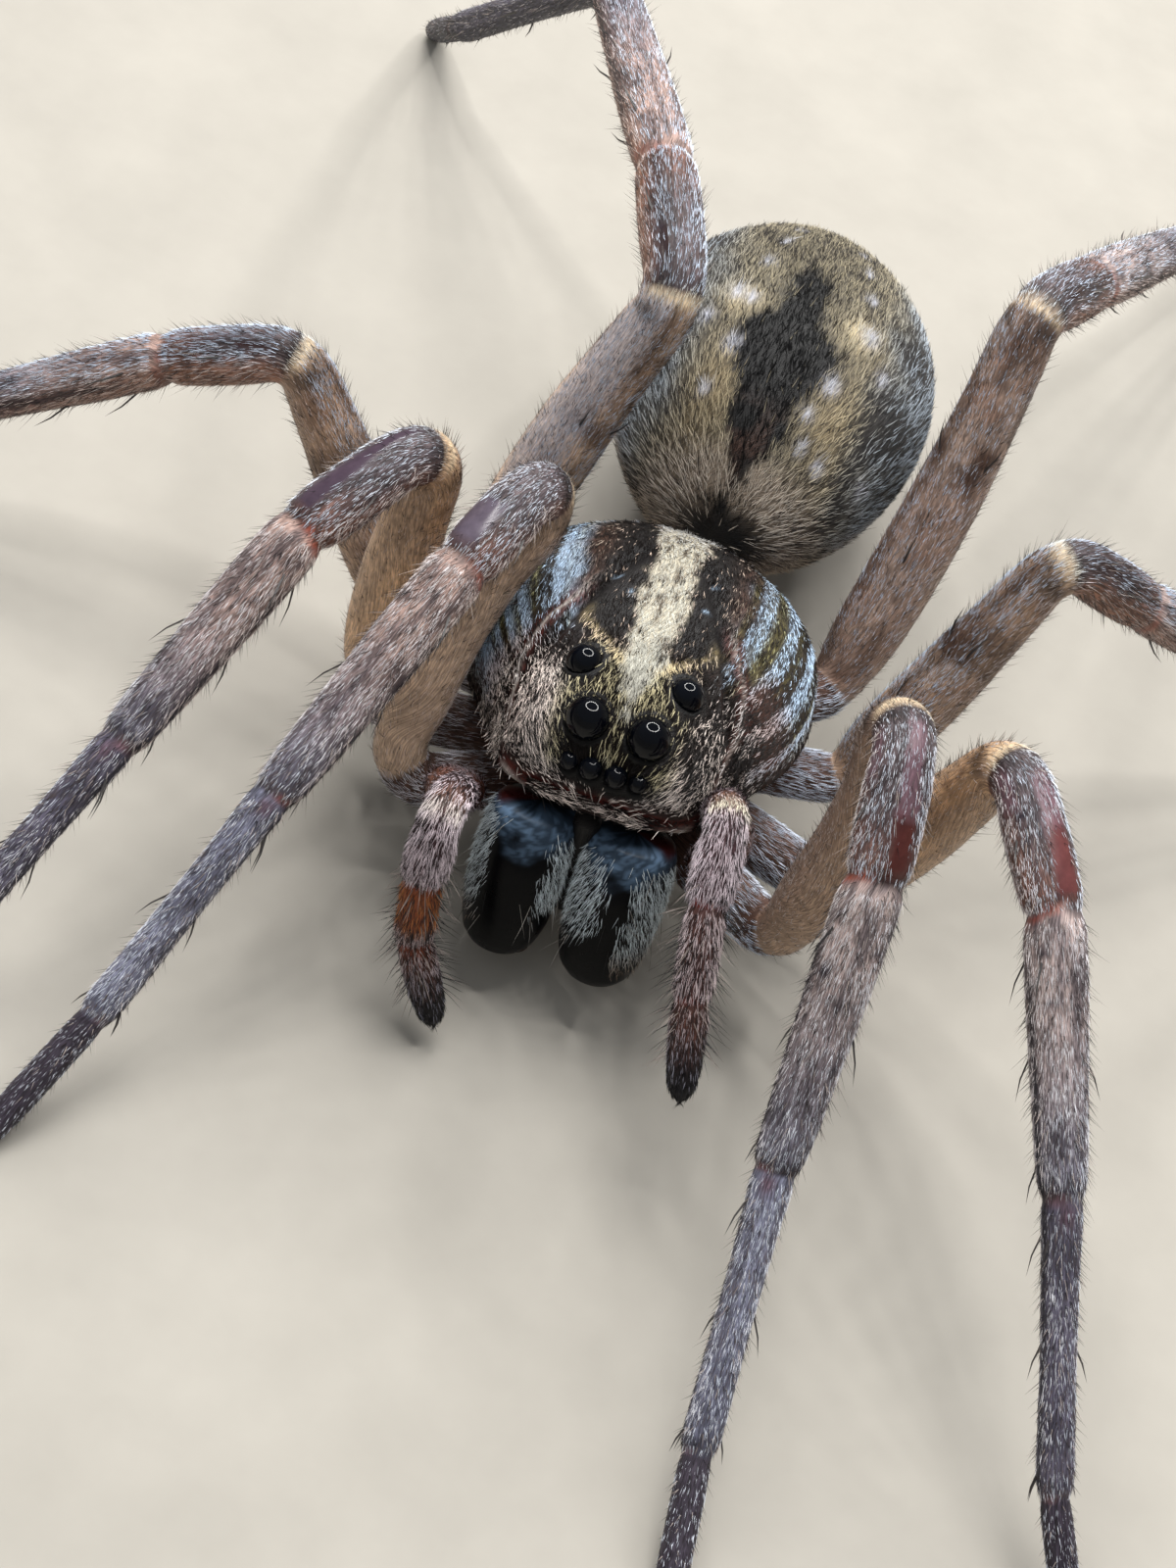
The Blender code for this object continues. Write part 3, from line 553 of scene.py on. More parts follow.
def jaw_patch(side, word):
    mirror = np.array([side, 1, 1])
    top, tip = from_body(np.array(JAW_TOP) * mirror), from_body(np.array(JAW_TIP) * mirror)
    t = np.linspace(0, 1, 90)
    wide, deep = curve(JAW_HALF_WIDTHS, t)[:, 0], curve(JAW_HALF_DEPTHS, t)[:, 0]
    end = np.sqrt(np.clip(1 - np.clip((t - 0.955) / 0.045, 0, 1) ** 2, 1e-4, 1))
    start = np.sqrt(np.clip(1 - np.clip((0.05 - t) / 0.05, 0, 1) ** 2, 1e-4, 1))
    wide, deep = (wide - 0.035) * end * start, (deep - 0.035) * end * start
    tangent = unit(tip - top)
    across = AXES @ np.array([1.0, 0, 0])
    across = unit(across - (across @ tangent) * tangent)
    up = np.cross(across, tangent)
    angle = np.linspace(0, 2 * math.pi, 73)[None, :]
    centre = top + (tip - top) * t[:, None]
    points = centre[:, None] + (np.cos(angle) * wide[:, None])[..., None] * across + (np.sin(angle) * deep[:, None])[..., None] * up
    local = to_body(points)
    # the two jaws meet flat along the middle, and their tops end under the face
    x = local[..., 0] * side
    soft = 0.05
    local[..., 0] = side * (0.045 + soft * np.log1p(np.exp(np.clip((x - 0.045) / soft, -30, 30))))
    local[..., 0] = np.where(x > 0.5, side * x, local[..., 0])
    roof = 0.36 - 0.12 * (local[..., 1] + 4.0) * -1
    local[..., 2] = np.minimum(local[..., 2], roof)
    points = from_body(local)
    points[:, -1] = points[:, 0]
    return Patch(f"chelicera_{word}", points, tangent, kind="jaw", side=side, t=t[:, None] + 0 * angle, angle=angle + 0 * t[:, None], local=local)


# ================================================================ meshes
COLLECTION = bpy.data.collections.new("looks")
bpy.context.scene.collection.children.link(COLLECTION)


def mesh_object(name, points, faces, attributes=None, uv=None, smooth=True):
    """A mesh from arrays: points in millimetres, faces of three or four corners (-1 fills a triangle's fourth)."""
    faces = np.asarray(faces, np.int64)
    if faces.shape[1] == 4 and (faces[:, 3] >= 0).all():
        sizes = np.full(len(faces), 4)
        corners = faces.ravel()
    elif faces.shape[1] == 3:
        sizes = np.full(len(faces), 3)
        corners = faces.ravel()
    else:
        sizes = np.where(faces[:, 3] >= 0, 4, 3)
        corners = faces.ravel()
        corners = corners[corners >= 0]
    mesh = bpy.data.meshes.new(name)
    mesh.vertices.add(len(points))
    mesh.vertices.foreach_set("co", (np.asarray(points, np.float64) * MM).astype(np.float32).ravel())
    mesh.loops.add(len(corners))
    mesh.loops.foreach_set("vertex_index", corners.astype(np.int32))
    mesh.polygons.add(len(sizes))
    mesh.polygons.foreach_set("loop_start", np.concatenate([[0], np.cumsum(sizes)[:-1]]).astype(np.int32))
    mesh.polygons.foreach_set("loop_total", sizes.astype(np.int32))
    if uv is not None:
        layer = mesh.uv_layers.new(name="OFBake")
        layer.data.foreach_set("uv", np.asarray(uv, np.float32).ravel())
    mesh.update(calc_edges=True)
    mesh.polygons.foreach_set("use_smooth", np.full(len(sizes), smooth))
    for key, values in (attributes or {}).items():
        values = np.asarray(values, np.float32)
        if values.ndim == 2 and values.shape[1] == 3:
            if key == "tone":
                layer = mesh.attributes.new(key, "FLOAT_COLOR", "POINT")
                layer.data.foreach_set("color", np.column_stack([values, np.ones(len(values), np.float32)]).ravel())
            else:
                layer = mesh.attributes.new(key, "FLOAT_VECTOR", "POINT")
                layer.data.foreach_set("vector", values.ravel())
        else:
            layer = mesh.attributes.new(key, "FLOAT", "POINT")
            layer.data.foreach_set("value", values.ravel())
    mesh.validate()
    mesh.update()
    obj = bpy.data.objects.new(name, mesh)
    COLLECTION.objects.link(obj)
    return obj


def grid_mesh(patches, rects, extra=()):
    """Points, faces, per-corner uv of several patches as one mesh. rects gives each patch's place on the unwrap."""
    points, faces, uvs, columns = [], [], [], {key: [] for key in extra}
    offset = 0
    for patch in patches:
        rows, cols = patch.P.shape[0], patch.P.shape[1] - 1
        u0, v0, u1, v1 = rects[patch.name]
        points.append(patch.P[:, :-1].reshape(-1, 3))
        index = offset + np.arange(rows * cols).reshape(rows, cols)
        a, b = index[:-1], index[1:]
        a1, b1 = np.roll(a, -1, 1), np.roll(b, -1, 1)
        quad = np.stack([a, a1, b1, b], -1).reshape(-1, 4)
        if patch.turned > 0:
            corner_order = [0, 1, 2, 3]
        else:
            corner_order = [3, 2, 1, 0]
        iu, jv = np.meshgrid(np.arange(rows - 1), np.arange(cols), indexing="ij")
        u = np.stack([iu, iu, iu + 1, iu + 1], -1) / (rows - 1)
        v = np.stack([jv, jv + 1, jv + 1, jv], -1) / cols
        uv = np.stack([u0 + (u1 - u0) * u, v0 + (v1 - v0) * v], -1).reshape(-1, 4, 2)
        faces.append(quad[:, corner_order])
        uvs.append(uv[:, corner_order])
        # flat fans close the two ends
        for ring, uu, flip in ((index[0], u0, False), (index[-1], u1, True)):
            hub = offset + rows * cols + (1 if flip else 0)
            tri = np.stack([np.roll(ring, -1), ring, np.full(cols, hub), np.full(cols, -1)], -1)
            if flip:
                tri = tri[:, [1, 0, 2, 3]]
            if patch.turned < 0:
                tri = tri[:, [1, 0, 2, 3]]
            faces.append(tri)
            k = np.arange(cols)
            vv = v0 + (v1 - v0) * np.stack([k + 1, k, k + 0.5, k + 0.5], -1) / cols
            fan = np.stack([np.full((cols, 4), uu), vv], -1)
            uvs.append(fan)
        ends = np.stack([patch.P[0, :-1].mean(0), patch.P[-1, :-1].mean(0)])
        points.append(ends)
        for key in extra:
            value = patch.facts[key]
            flat = value[:, :-1].reshape(rows * cols, -1)
            columns[key].append(np.concatenate([flat, value[:1, 0].reshape(1, -1), value[-1:, 0].reshape(1, -1)]))
        offset += rows * cols + 2
    faces, uvs = np.concatenate(faces), np.concatenate(uvs)
    keep = faces >= 0
    corners = uvs[keep]
    return np.concatenate(points), faces, corners, {key: np.concatenate(v) for key, v in columns.items()}


# ================================================================ hair
def scatter(patch, count, rng, density):
    """Random roots over a patch, by area and density, and every fact of the coat at each root."""
    P = patch.P
    d1, d2 = P[1:, 1:] - P[:-1, :-1], P[1:, :-1] - P[:-1, 1:]
    area = np.linalg.norm(np.cross(d1, d2), axis=-1) / 2
    cell = (density[:-1, :-1] + density[1:, :-1] + density[:-1, 1:] + density[1:, 1:]) / 4
    weight = (area * cell).ravel()
    total = weight.sum()
    if total <= 0 or count <= 0:
        return None
    pick = rng.choice(len(weight), size=int(count), p=weight / total)
    i, j = pick // area.shape[1], pick % area.shape[1]
    u, v = rng.random(len(pick)), rng.random(len(pick))

    def at(grid):
        grid = np.asarray(grid)
        if grid.ndim == 2:
            grid = grid[..., None]
            flat = True
        else:
            flat = False
        w = [((1 - u) * (1 - v))[:, None], (u * (1 - v))[:, None], ((1 - u) * v)[:, None], (u * v)[:, None]]
        out = grid[i, j] * w[0] + grid[i + 1, j] * w[1] + grid[i, j + 1] * w[2] + grid[i + 1, j + 1] * w[3]
        return out[:, 0] if flat else out

    return {"P": at(P), "N": unit(at(patch.N)), "D": unit(at(patch.D)), "at": at, "u": (i + u) / area.shape[0], "v": (j + v) / area.shape[1]}


def area_of(patch, density=None):
    P = patch.P
    d1, d2 = P[1:, 1:] - P[:-1, :-1], P[1:, :-1] - P[:-1, 1:]
    area = np.linalg.norm(np.cross(d1, d2), axis=-1) / 2
    if density is None:
        return area.sum()
    cell = (density[:-1, :-1] + density[1:, :-1] + density[:-1, 1:] + density[1:, 1:]) / 4
    return (area * cell).sum()


class Coat:
    """Gathers hairs as closed spikes and makes them one mesh object."""

    def __init__(self, name, rects):
        self.name, self.rects = name, rects
        self.points, self.faces, self.uv, self.tone, self.count = [], [], [], [], 0

    def straight(self, root, way, normal, length, width, tone, uv):
        """Straight closed spikes with three sides."""
        n = len(root)
        side = unit(np.cross(way, normal))
        up = np.cross(side, way)
        w = np.asarray(width)[:, None]
        b0 = root + side * w * 0.5 - up * w * 0.15
        b1 = root - side * w * 0.5 - up * w * 0.15
        b2 = root + up * w * 0.5
        tip = root + way * np.asarray(length)[:, None]
        points = np.stack([b0, b1, b2, tip], 1).reshape(-1, 3)
        faces = np.array([[0, 2, 1], [0, 1, 3], [1, 2, 3], [2, 0, 3]])
        faces = (np.arange(n)[:, None, None] * 4 + faces).reshape(-1, 3)
        patch_uv = np.array([[-1, -1], [1, -1], [-1, 1], [1, 1]]) * 0.0014
        vertex_uv = (uv[:, None] + patch_uv).reshape(-1, 2)
        # painted shade: each spike is darker at its root, for the shade among the hairs, and lighter towards its tip
        shade = np.array([0.72, 0.72, 0.8, 1.12])[None, :, None]
        tones = (np.asarray(tone)[:, None] * shade).reshape(-1, 3)
        self._add(points, faces, vertex_uv, tones)

    def curved(self, root, way, normal, length, width, tone, uv, fall, taper=0.72):
        """Closed spikes with a joint at mid length; the tip is moved by fall times the length."""
        n = len(root)
        side = unit(np.cross(way, normal))
        up = np.cross(side, way)
        w, long = np.asarray(width)[:, None], np.asarray(length)[:, None]
        middle = root + way * long * 0.5 + fall * long * 0.22
        tip = root + way * long + fall * long
        ring = []
        for centre, k in ((root, 1.0), (middle, taper)):
            ring += [centre + side * w * 0.5 * k - up * w * 0.2 * k, centre - side * w * 0.5 * k - up * w * 0.2 * k, centre + up * w * 0.45 * k]
        points = np.stack(ring + [tip], 1).reshape(-1, 3)
        faces = np.array([[0, 2, 1], [0, 1, 4], [0, 4, 3], [1, 2, 5], [1, 5, 4], [2, 0, 3], [2, 3, 5], [3, 4, 6], [4, 5, 6], [5, 3, 6]])
        faces = (np.arange(n)[:, None, None] * 7 + faces).reshape(-1, 3)
        patch_uv = np.array([[-1, -1], [1, -1], [0, -0.4], [-1, 0.2], [1, 0.2], [0, 0.5], [0, 1]]) * 0.0014
        vertex_uv = (uv[:, None] + patch_uv).reshape(-1, 2)
        # painted shade: each spike is darker at its root, for the shade among the hairs, and lighter towards its tip
        shade = np.array([0.7, 0.7, 0.75, 0.95, 0.95, 1.0, 1.15])[None, :, None]
        tones = (np.asarray(tone)[:, None] * shade).reshape(-1, 3)
        self._add(points, faces, vertex_uv, tones)

    def _add(self, points, faces, uv, tone):
        self.faces.append(faces + self.count)
        self.points.append(points)
        self.uv.append(uv)
        self.tone.append(tone)
        self.count += len(points)

    def place(self, patch, u, v):
        u0, v0, u1, v1 = self.rects[patch.name]
        return np.stack([u0 + (u1 - u0) * u, v0 + (v1 - v0) * v], -1)

    def make(self):
        points, faces = np.concatenate(self.points), np.concatenate(self.faces)
        uv, tone = np.concatenate(self.uv), np.concatenate(self.tone)
        return mesh_object(self.name, points, faces, {"tone": tone}, uv[faces.ravel()], smooth=False)


def lay(found, rng, rise, spread, turn=None):
    """Directions for hairs: the lie, swung sideways at random and raised off the skin (degrees)."""
    n = len(found["P"])
    swing = np.radians(rng.normal(0, 1, n) * spread)
    if turn is not None:
        swing = swing + turn
    side = np.cross(found["N"], found["D"])
    flat = found["D"] * np.cos(swing)[:, None] + side * np.sin(swing)[:, None]
    lift = np.radians(rise)[:, None] if np.ndim(rise) else np.radians(np.full(n, rise))[:, None]
    return unit(flat * np.cos(lift) + found["N"] * np.sin(lift))


def two_tones(rng, share, pale, dark, spread=0.16):
    """Each hair is pale with the given chance, else dark, a little lighter or darker than its kind."""
    chosen = rng.random(len(share)) < share
    tone = np.where(chosen[:, None], pale, dark)
    return tone * np.exp(rng.normal(0, spread, len(share)))[:, None]


# ================================================================ colours of skin and coat
SILVER = rgb(0.79, 0.83, 0.885)
CREAM = rgb(0.95, 0.91, 0.80)
BUFF = rgb(0.84, 0.76, 0.70)
ROSE = rgb(0.84, 0.775, 0.745)
BLUE_WHITE = rgb(0.79, 0.86, 0.95)
DARK_HAIR = rgb(0.14, 0.11, 0.115)
BLACK_HAIR = rgb(0.035, 0.03, 0.04)
NAVY = rgb(0.10, 0.10, 0.16)


def flat(value, like):
    return np.broadcast_to(value, like.shape + (3,)).copy()


def leg_look(patch):
    """Skin colour, share of pale hairs, both hair colours, density and length over a leg."""
    f = patch.facts
    pos, pro, dorsal, number, word = f["pos"], f["pro"], f["dorsal"], f["number"], f["word"]
    place = patch.P
    theta = np.degrees(np.arctan2(pro, dorsal))  # 0 on the back, 90 towards the head
    fine, mid, broad = noise(place, 0.11, 11), noise(place, 0.32, 13), noise(place, 0.75, 12)
    seg = np.clip(np.floor(pos), 0, 5).astype(int)
    t = np.clip(pos - seg, 0, 1)
    coxa, femur, patella, tibia, meta, tarsus = (np.where(seg == k, 1.0, 0.0) for k in range(6))
    rear = number >= 3

    # the last right thigh's tone is partly its own pale tan and partly painted light, set lighter to offset the shade
    # it stands in
    thigh = {1: rgb(0.57, 0.48, 0.42) if word == "left" else rgb(0.70, 0.61, 0.53), 2: rgb(0.85, 0.70, 0.55), 3: rgb(0.64, 0.54, 0.46), 4: rgb(0.84, 0.72, 0.61) if word == "right" else rgb(0.58, 0.49, 0.44)}[number]
    skin = coxa[..., None] * rgb(0.30, 0.22, 0.19) + femur[..., None] * thigh
    skin = skin + patella[..., None] * rgb(0.42, 0.31, 0.28)
    skin = skin + tibia[..., None] * mix(flat(rgb(0.60, 0.51, 0.48) if word == "right" else rgb(0.62, 0.56, 0.55), pos), rgb(0.39, 0.385, 0.44), step(0.25, 1.0, t))
    skin = skin + meta[..., None] * (rgb(0.40, 0.41, 0.48) if number == 1 else rgb(0.32, 0.31, 0.37)) + tarsus[..., None] * rgb(0.19, 0.17, 0.21)
    back = step(-0.1, 0.75, dorsal)
    pale = coxa * 0.8 + femur * ((0.44 if word == "left" and number == 4 else 0.80) if rear else 0.72) + patella * (0.46 if rear and word == "left" else 0.76) + tibia * (0.84 - 0.16 * t) + meta * (0.82 if number == 1 else 0.56) + tarsus * 0.48
    pale_tone = flat(ROSE if word == "right" else rgb(0.87, 0.84, 0.84), pos)
    dark_tone = mix(flat(rgb(0.37, 0.33, 0.335), pos), DARK_HAIR, np.clip(0.6 * femur + coxa + tarsus + 0.2 * patella, 0, 1))
    density = coxa * 0.95 + femur * (0.72 if rear else 0.55) + patella * 1.15 + tibia * 1.15 + meta * 1.10 + tarsus * 1.0
    length = coxa * 0.22 + femur * 0.16 + patella * 0.17 + tibia * 0.18 + meta * 0.165 + tarsus * 0.13
    wide = 1.0 - 0.22 * femur
    bare = 0.25 * femur
    rise = 1.0 + 0 * pos

    # silver hairs along the back, pinkish ones on the sides
    silver = patella * back + tibia * back * (0.35 + 0.5 * t) + meta * (0.45 + 0.45 * back) + tarsus * 0.8 + femur * back * (0.75 if rear else 0.2)
    if rear:
        silver = silver + tibia * back * 0.6 + 0.35 * (patella + tibia)
    pale_tone = mix(pale_tone, SILVER, np.clip(silver, 0, 1))
    pale_tone = mix(pale_tone, BLUE_WHITE, coxa * (0.75 if word == "left" else 0.45))
    skin = mix(skin, rgb(0.25, 0.25, 0.28), 0.75 * patella * back * step(0.95, 0.45, t) + 0.2 * tibia * back * t)
    # long thin streaks that run down the shin and foot
    half = f["half"][:, None]
    streak = noise(np.stack([pro * half, dorsal * half, f["s"] * 0.10 + 3.0 * number], -1), 0.085, 15)
    lined = np.clip(patella * 0.6 + tibia + meta * 0.9, 0, 1)
    dim = step(0.52, 0.66, streak) * lined
    glow = step(0.46, 0.32, streak) * lined
    pale = pale * (1 - 0.55 * dim) + 0.12 * glow
    skin = mix(skin, rgb(0.24, 0.23, 0.27), dim * 0.55)
    pale_tone = mix(pale_tone, flat(rgb(0.93, 0.92, 0.93), pos), 0.5 * glow * (0.4 + 0.6 * back))
    skin = mix(skin, rgb(0.46, 0.32, 0.27), patella * step(0.35, 0.8, t) * step(0.6, -0.1, dorsal) * 0.85)
    # the thigh's soft cloudy tone, and its greyer far end and back
    cloud = noise(np.stack([pro * half, dorsal * half, f["s"] * 0.45 + 7.0 * number], -1), 0.5, 18)
    skin = skin * (1 + (femur * (0.34 * (cloud - 0.5) - 0.04))[..., None])
    skin = mix(skin, rgb(0.52, 0.46, 0.42), femur * 0.55 * step(0.45, 0.75, cloud))
    skin = mix(skin, rgb(0.36, 0.26, 0.21), femur * 0.22 * step(0.55, 0.95, t))
    # a greyer, hairier band along the thigh's back, broken by brown
    saddle = femur * step(0.20, 0.80, dorsal + 0.35 * (mid - 0.5)) * step(0.02, 0.15, t)
    skin = mix(skin, rgb(0.27, 0.23, 0.22), saddle * (0.12 + 0.22 * step(0.45, 0.65, broad)))
    pale_tone = mix(pale_tone, rgb(0.76, 0.77, 0.80), saddle * 0.8)
    density = density + 0.40 * saddle
    freckle = femur * step(0.58, 0.70, mid + 0.25 * (fine - 0.5)) * step(-0.7, 0.1, dorsal)
    skin = mix(skin, rgb(0.38, 0.26, 0.20), freckle * 0.35)
    skin = mix(skin, rgb(0.72, 0.61, 0.51), femur * step(-0.2, -0.95, dorsal) * 0.45)
    if rear:
        band = femur * step(0.10, 0.65, dorsal) * step(0.2, 0.4, mid + 0.3 * fine)
        pale_tone = mix(pale_tone, BLUE_WHITE, band)
        pale = np.clip(pale + 0.15 * band, 0, 1)
        density = density + 0.35 * band
        slim = noise(np.stack([pro * f["half"][:, None], dorsal * f["half"][:, None], f["s"] * 0.35 + 5.0 * number], -1), 0.42, 17)
        spots = femur * step(0.62, 0.72, slim) * 0.62 + femur * 0.6 * bump(t, 0.60, 0.05) * step(0.40, 0.6, mid) * step(-0.4, 0.2, dorsal) + patella * 0.55 * step(0.56, 0.68, mid)
        spots = spots + femur * bump(theta, 8, 16) * step(0.72, 0.80, t) * 0.9
        skin = mix(skin, rgb(0.19, 0.12, 0.09), np.clip(spots, 0, 1) * 0.85)
        pale = pale * (1 - 0.75 * np.clip(spots, 0, 1))
        # warm low sides and blue-white backs on the rear shins, and a pale outer edge on the last thigh
        low_side = (patella + tibia) * step(0.40, -0.10, dorsal)
        skin = mix(skin, rgb(0.60, 0.44, 0.36), low_side * 0.6)
        pale_tone = mix(pale_tone, rgb(0.82, 0.70, 0.62), low_side * 0.6)
        ridge = (patella + tibia * (1 - 0.5 * t)) * step(0.10, 0.60, dorsal)
        pale_tone = mix(pale_tone, BLUE_WHITE, ridge * 0.7)
        pale = np.clip(pale + 0.15 * ridge, 0, 1)
        if number == 4 and word == "right":
            outer_edge = femur * step(0.05, 0.60, pro + 0.3 * (mid - 0.5)) * step(-0.6, -0.1, dorsal) * step(0.15, 0.45, t)
            skin = mix(skin, rgb(0.60, 0.58, 0.60), outer_edge * 0.8)
            pale_tone = mix(pale_tone, BLUE_WHITE, outer_edge)
            pale = np.clip(pale + 0.3 * outer_edge, 0, 1)
            density = density + 0.6 * outer_edge
            skin = skin * (1 + 0.22 * (femur * step(-0.5, 0.3, pro))[..., None])
        length = length * 1.08

    # the bare glossy stripe on the knee piece
    middle, reach, first, last, tone = {
        "right_1": (-27.0, 40.0, 0.42, 0.95, rgb(0.32, 0.29, 0.335)),
        "right_2": (-12.0, 14.0, 0.07, 0.96, rgb(0.245, 0.20, 0.245)),
        "left_1": (-2.0, 15.0, 0.05, 0.97, rgb(0.27, 0.13, 0.12)),
        "left_2": (-1.0, 20.0, 0.14, 0.96, rgb(0.34, 0.19, 0.19)),
    }.get(f"{word}_{number}", (44.0, 9.0, 0.14, 0.42, rgb(0.17, 0.12, 0.12)))
    if word == "left" and number == 1:
        middle = middle - 22.0 * np.clip(t, 0, 1)
        reach = reach + 13 * t
    if word == "left" and number == 2:
        reach = reach + 10 * t
    if word == "right" and number == 2:
        reach = reach + 15 * t
    stripe = patella * step(reach + 4, reach - 3, np.abs(theta - middle) + 4 * (mid - 0.5)) * step(first - 0.04, first + 0.03, t + 0.02 * (fine - 0.5)) * step(last + 0.02, last - 0.04, t)
    if not rear and word == "left":
        side_patch = patella * step(24, 15, np.abs(theta - 80)) * step(0.04, 0.08, t) * step(0.42, 0.3, t)
        stripe = np.maximum(stripe, side_patch * 0.9)
    if word == "left" and not rear:
        fade = step(0.62, 0.30, t + 0.25 * (mid - 0.5))
        skin = mix(skin, mix(flat(tone, pos), rgb(0.40, 0.32, 0.36), 0.8 * fade), stripe)
        density = density * (1 - stripe * (1 - 0.42 * fade))
        bare = np.maximum(bare, stripe * (1 - 0.4 * fade))
    else:
        skin = mix(skin, tone, stripe)
        density = density * (1 - stripe)
        bare = np.maximum(bare, stripe)
    # dark edges round it
    around = np.clip(patella * step(reach + 16, reach + 3, np.abs(theta - middle)) * step(first - 0.12, first, t) - stripe, 0, 1)
    skin = mix(skin, rgb(0.07, 0.06, 0.08), around * 0.55)

    # knee rim: cream hairs where the thigh ends, black just past them
    rim = bump(pos, 1.985, 0.014) * step(-0.1, 0.5, dorsal)
    pale_tone = mix(pale_tone, rgb(0.93, 0.90, 0.81), rim)
    pale = np.clip(pale + rim, 0, 1)
    skin = mix(skin, rgb(0.78, 0.71, 0.60), rim * 0.85)
    ink = (bump(pos, 2.04, 0.028) * (0.45 + 0.55 * step(0.1, 0.7, np.abs(pro))) + bump(pos, 1.93, 0.03) * step(0.2, 0.8, np.abs(pro)) * 0.8) * step(-0.5, 0.2, dorsal)
    skin = mix(skin, rgb(0.035, 0.03, 0.035), np.clip(ink, 0, 1) * 0.9)
    pale = pale * (1 - 0.85 * np.clip(ink, 0, 1))
    # membrane at the joints
    for where, width, strength in ((3.0, 0.016, 1.0), (4.0, 0.012, 0.8), (5.0, 0.012, 0.5)):
        gap = bump(pos - 0.035 * (1 - back) * (where == 3.0), where, width) * strength * (0.5 if rear else 1.0)
        skin = mix(skin, rgb(0.56, 0.29, 0.23), gap * step(0.15, 0.75, pro))
        skin = mix(skin, rgb(0.18, 0.12, 0.13), gap * step(0.45, -0.1, pro) * 0.8)
        density = density * (1 - 0.85 * gap * (0.45 + 0.55 * step(-0.3, 0.5, pro)))
        bare = np.maximum(bare, gap * 0.7)
    # a mauve bare spot just past the ankle, and dark hairs before it
    spot = bump(pos, 4.055, 0.035) * step(30, 12, np.abs(theta - 25)) * (not rear)
    skin = mix(skin, rgb(0.31, 0.245, 0.29), spot)
    density = density * (1 - 0.8 * spot)
    ink = bump(pos, 3.965, 0.022) * 0.6 + bump(pos, 4.95, 0.03) * 0.6
    pale = pale * (1 - ink)
    skin = mix(skin, NAVY, ink * 0.7)
    # the dark line low on the side towards the head, and streaks of dark blotches
    line = bump(theta + 10 * (mid - 0.5), 98, 13) * (tibia * step(0.1, 0.3, t) + meta * 0.9)
    line = np.maximum(line, bump(theta + 12 * (mid - 0.5), -100, 14) * (tibia * step(0.3, 0.6, t) * 0.8 + meta * 0.8))
    under = step(-0.35, -0.9, dorsal) * (tibia * (0.35 + 0.5 * t) + meta * 0.8 + tarsus * 0.8)
    flake = step(0.60, 0.74, broad) * (tibia * (0.15 + 0.3 * t) + meta * 0.35) + step(0.64, 0.74, mid) * tibia * 0.35
    for where, way in ((2.38, 58), (2.55, 64), (3.14, 62), (3.32, 50), (3.22, -40), (3.62, -30)):
        flake = flake + np.exp(-(((pos - where) / 0.022) ** 2) - (((theta - way) / 12.0) ** 2)) * (1.2 if word == "left" else 0.7)
    dark = np.clip(np.maximum(np.maximum(line, under), flake), 0, 1)
    skin = mix(skin, NAVY, dark * 0.85)
    pale = pale * (1 - 0.72 * dark)
    dark_tone = mix(dark_tone, BLACK_HAIR, dark)

    skin = skin * (0.84 + 0.32 * fine[..., None])
    density = density * (1 - 0.3 * step(-0.4, -1.0, dorsal)) * step(0.2, 0.5, pos)
    return dict(skin=skin, pale=np.clip(pale, 0, 1), pale_tone=pale_tone, dark_tone=dark_tone, density=density, length=length, bare=bare, wide=wide, rise=rise)


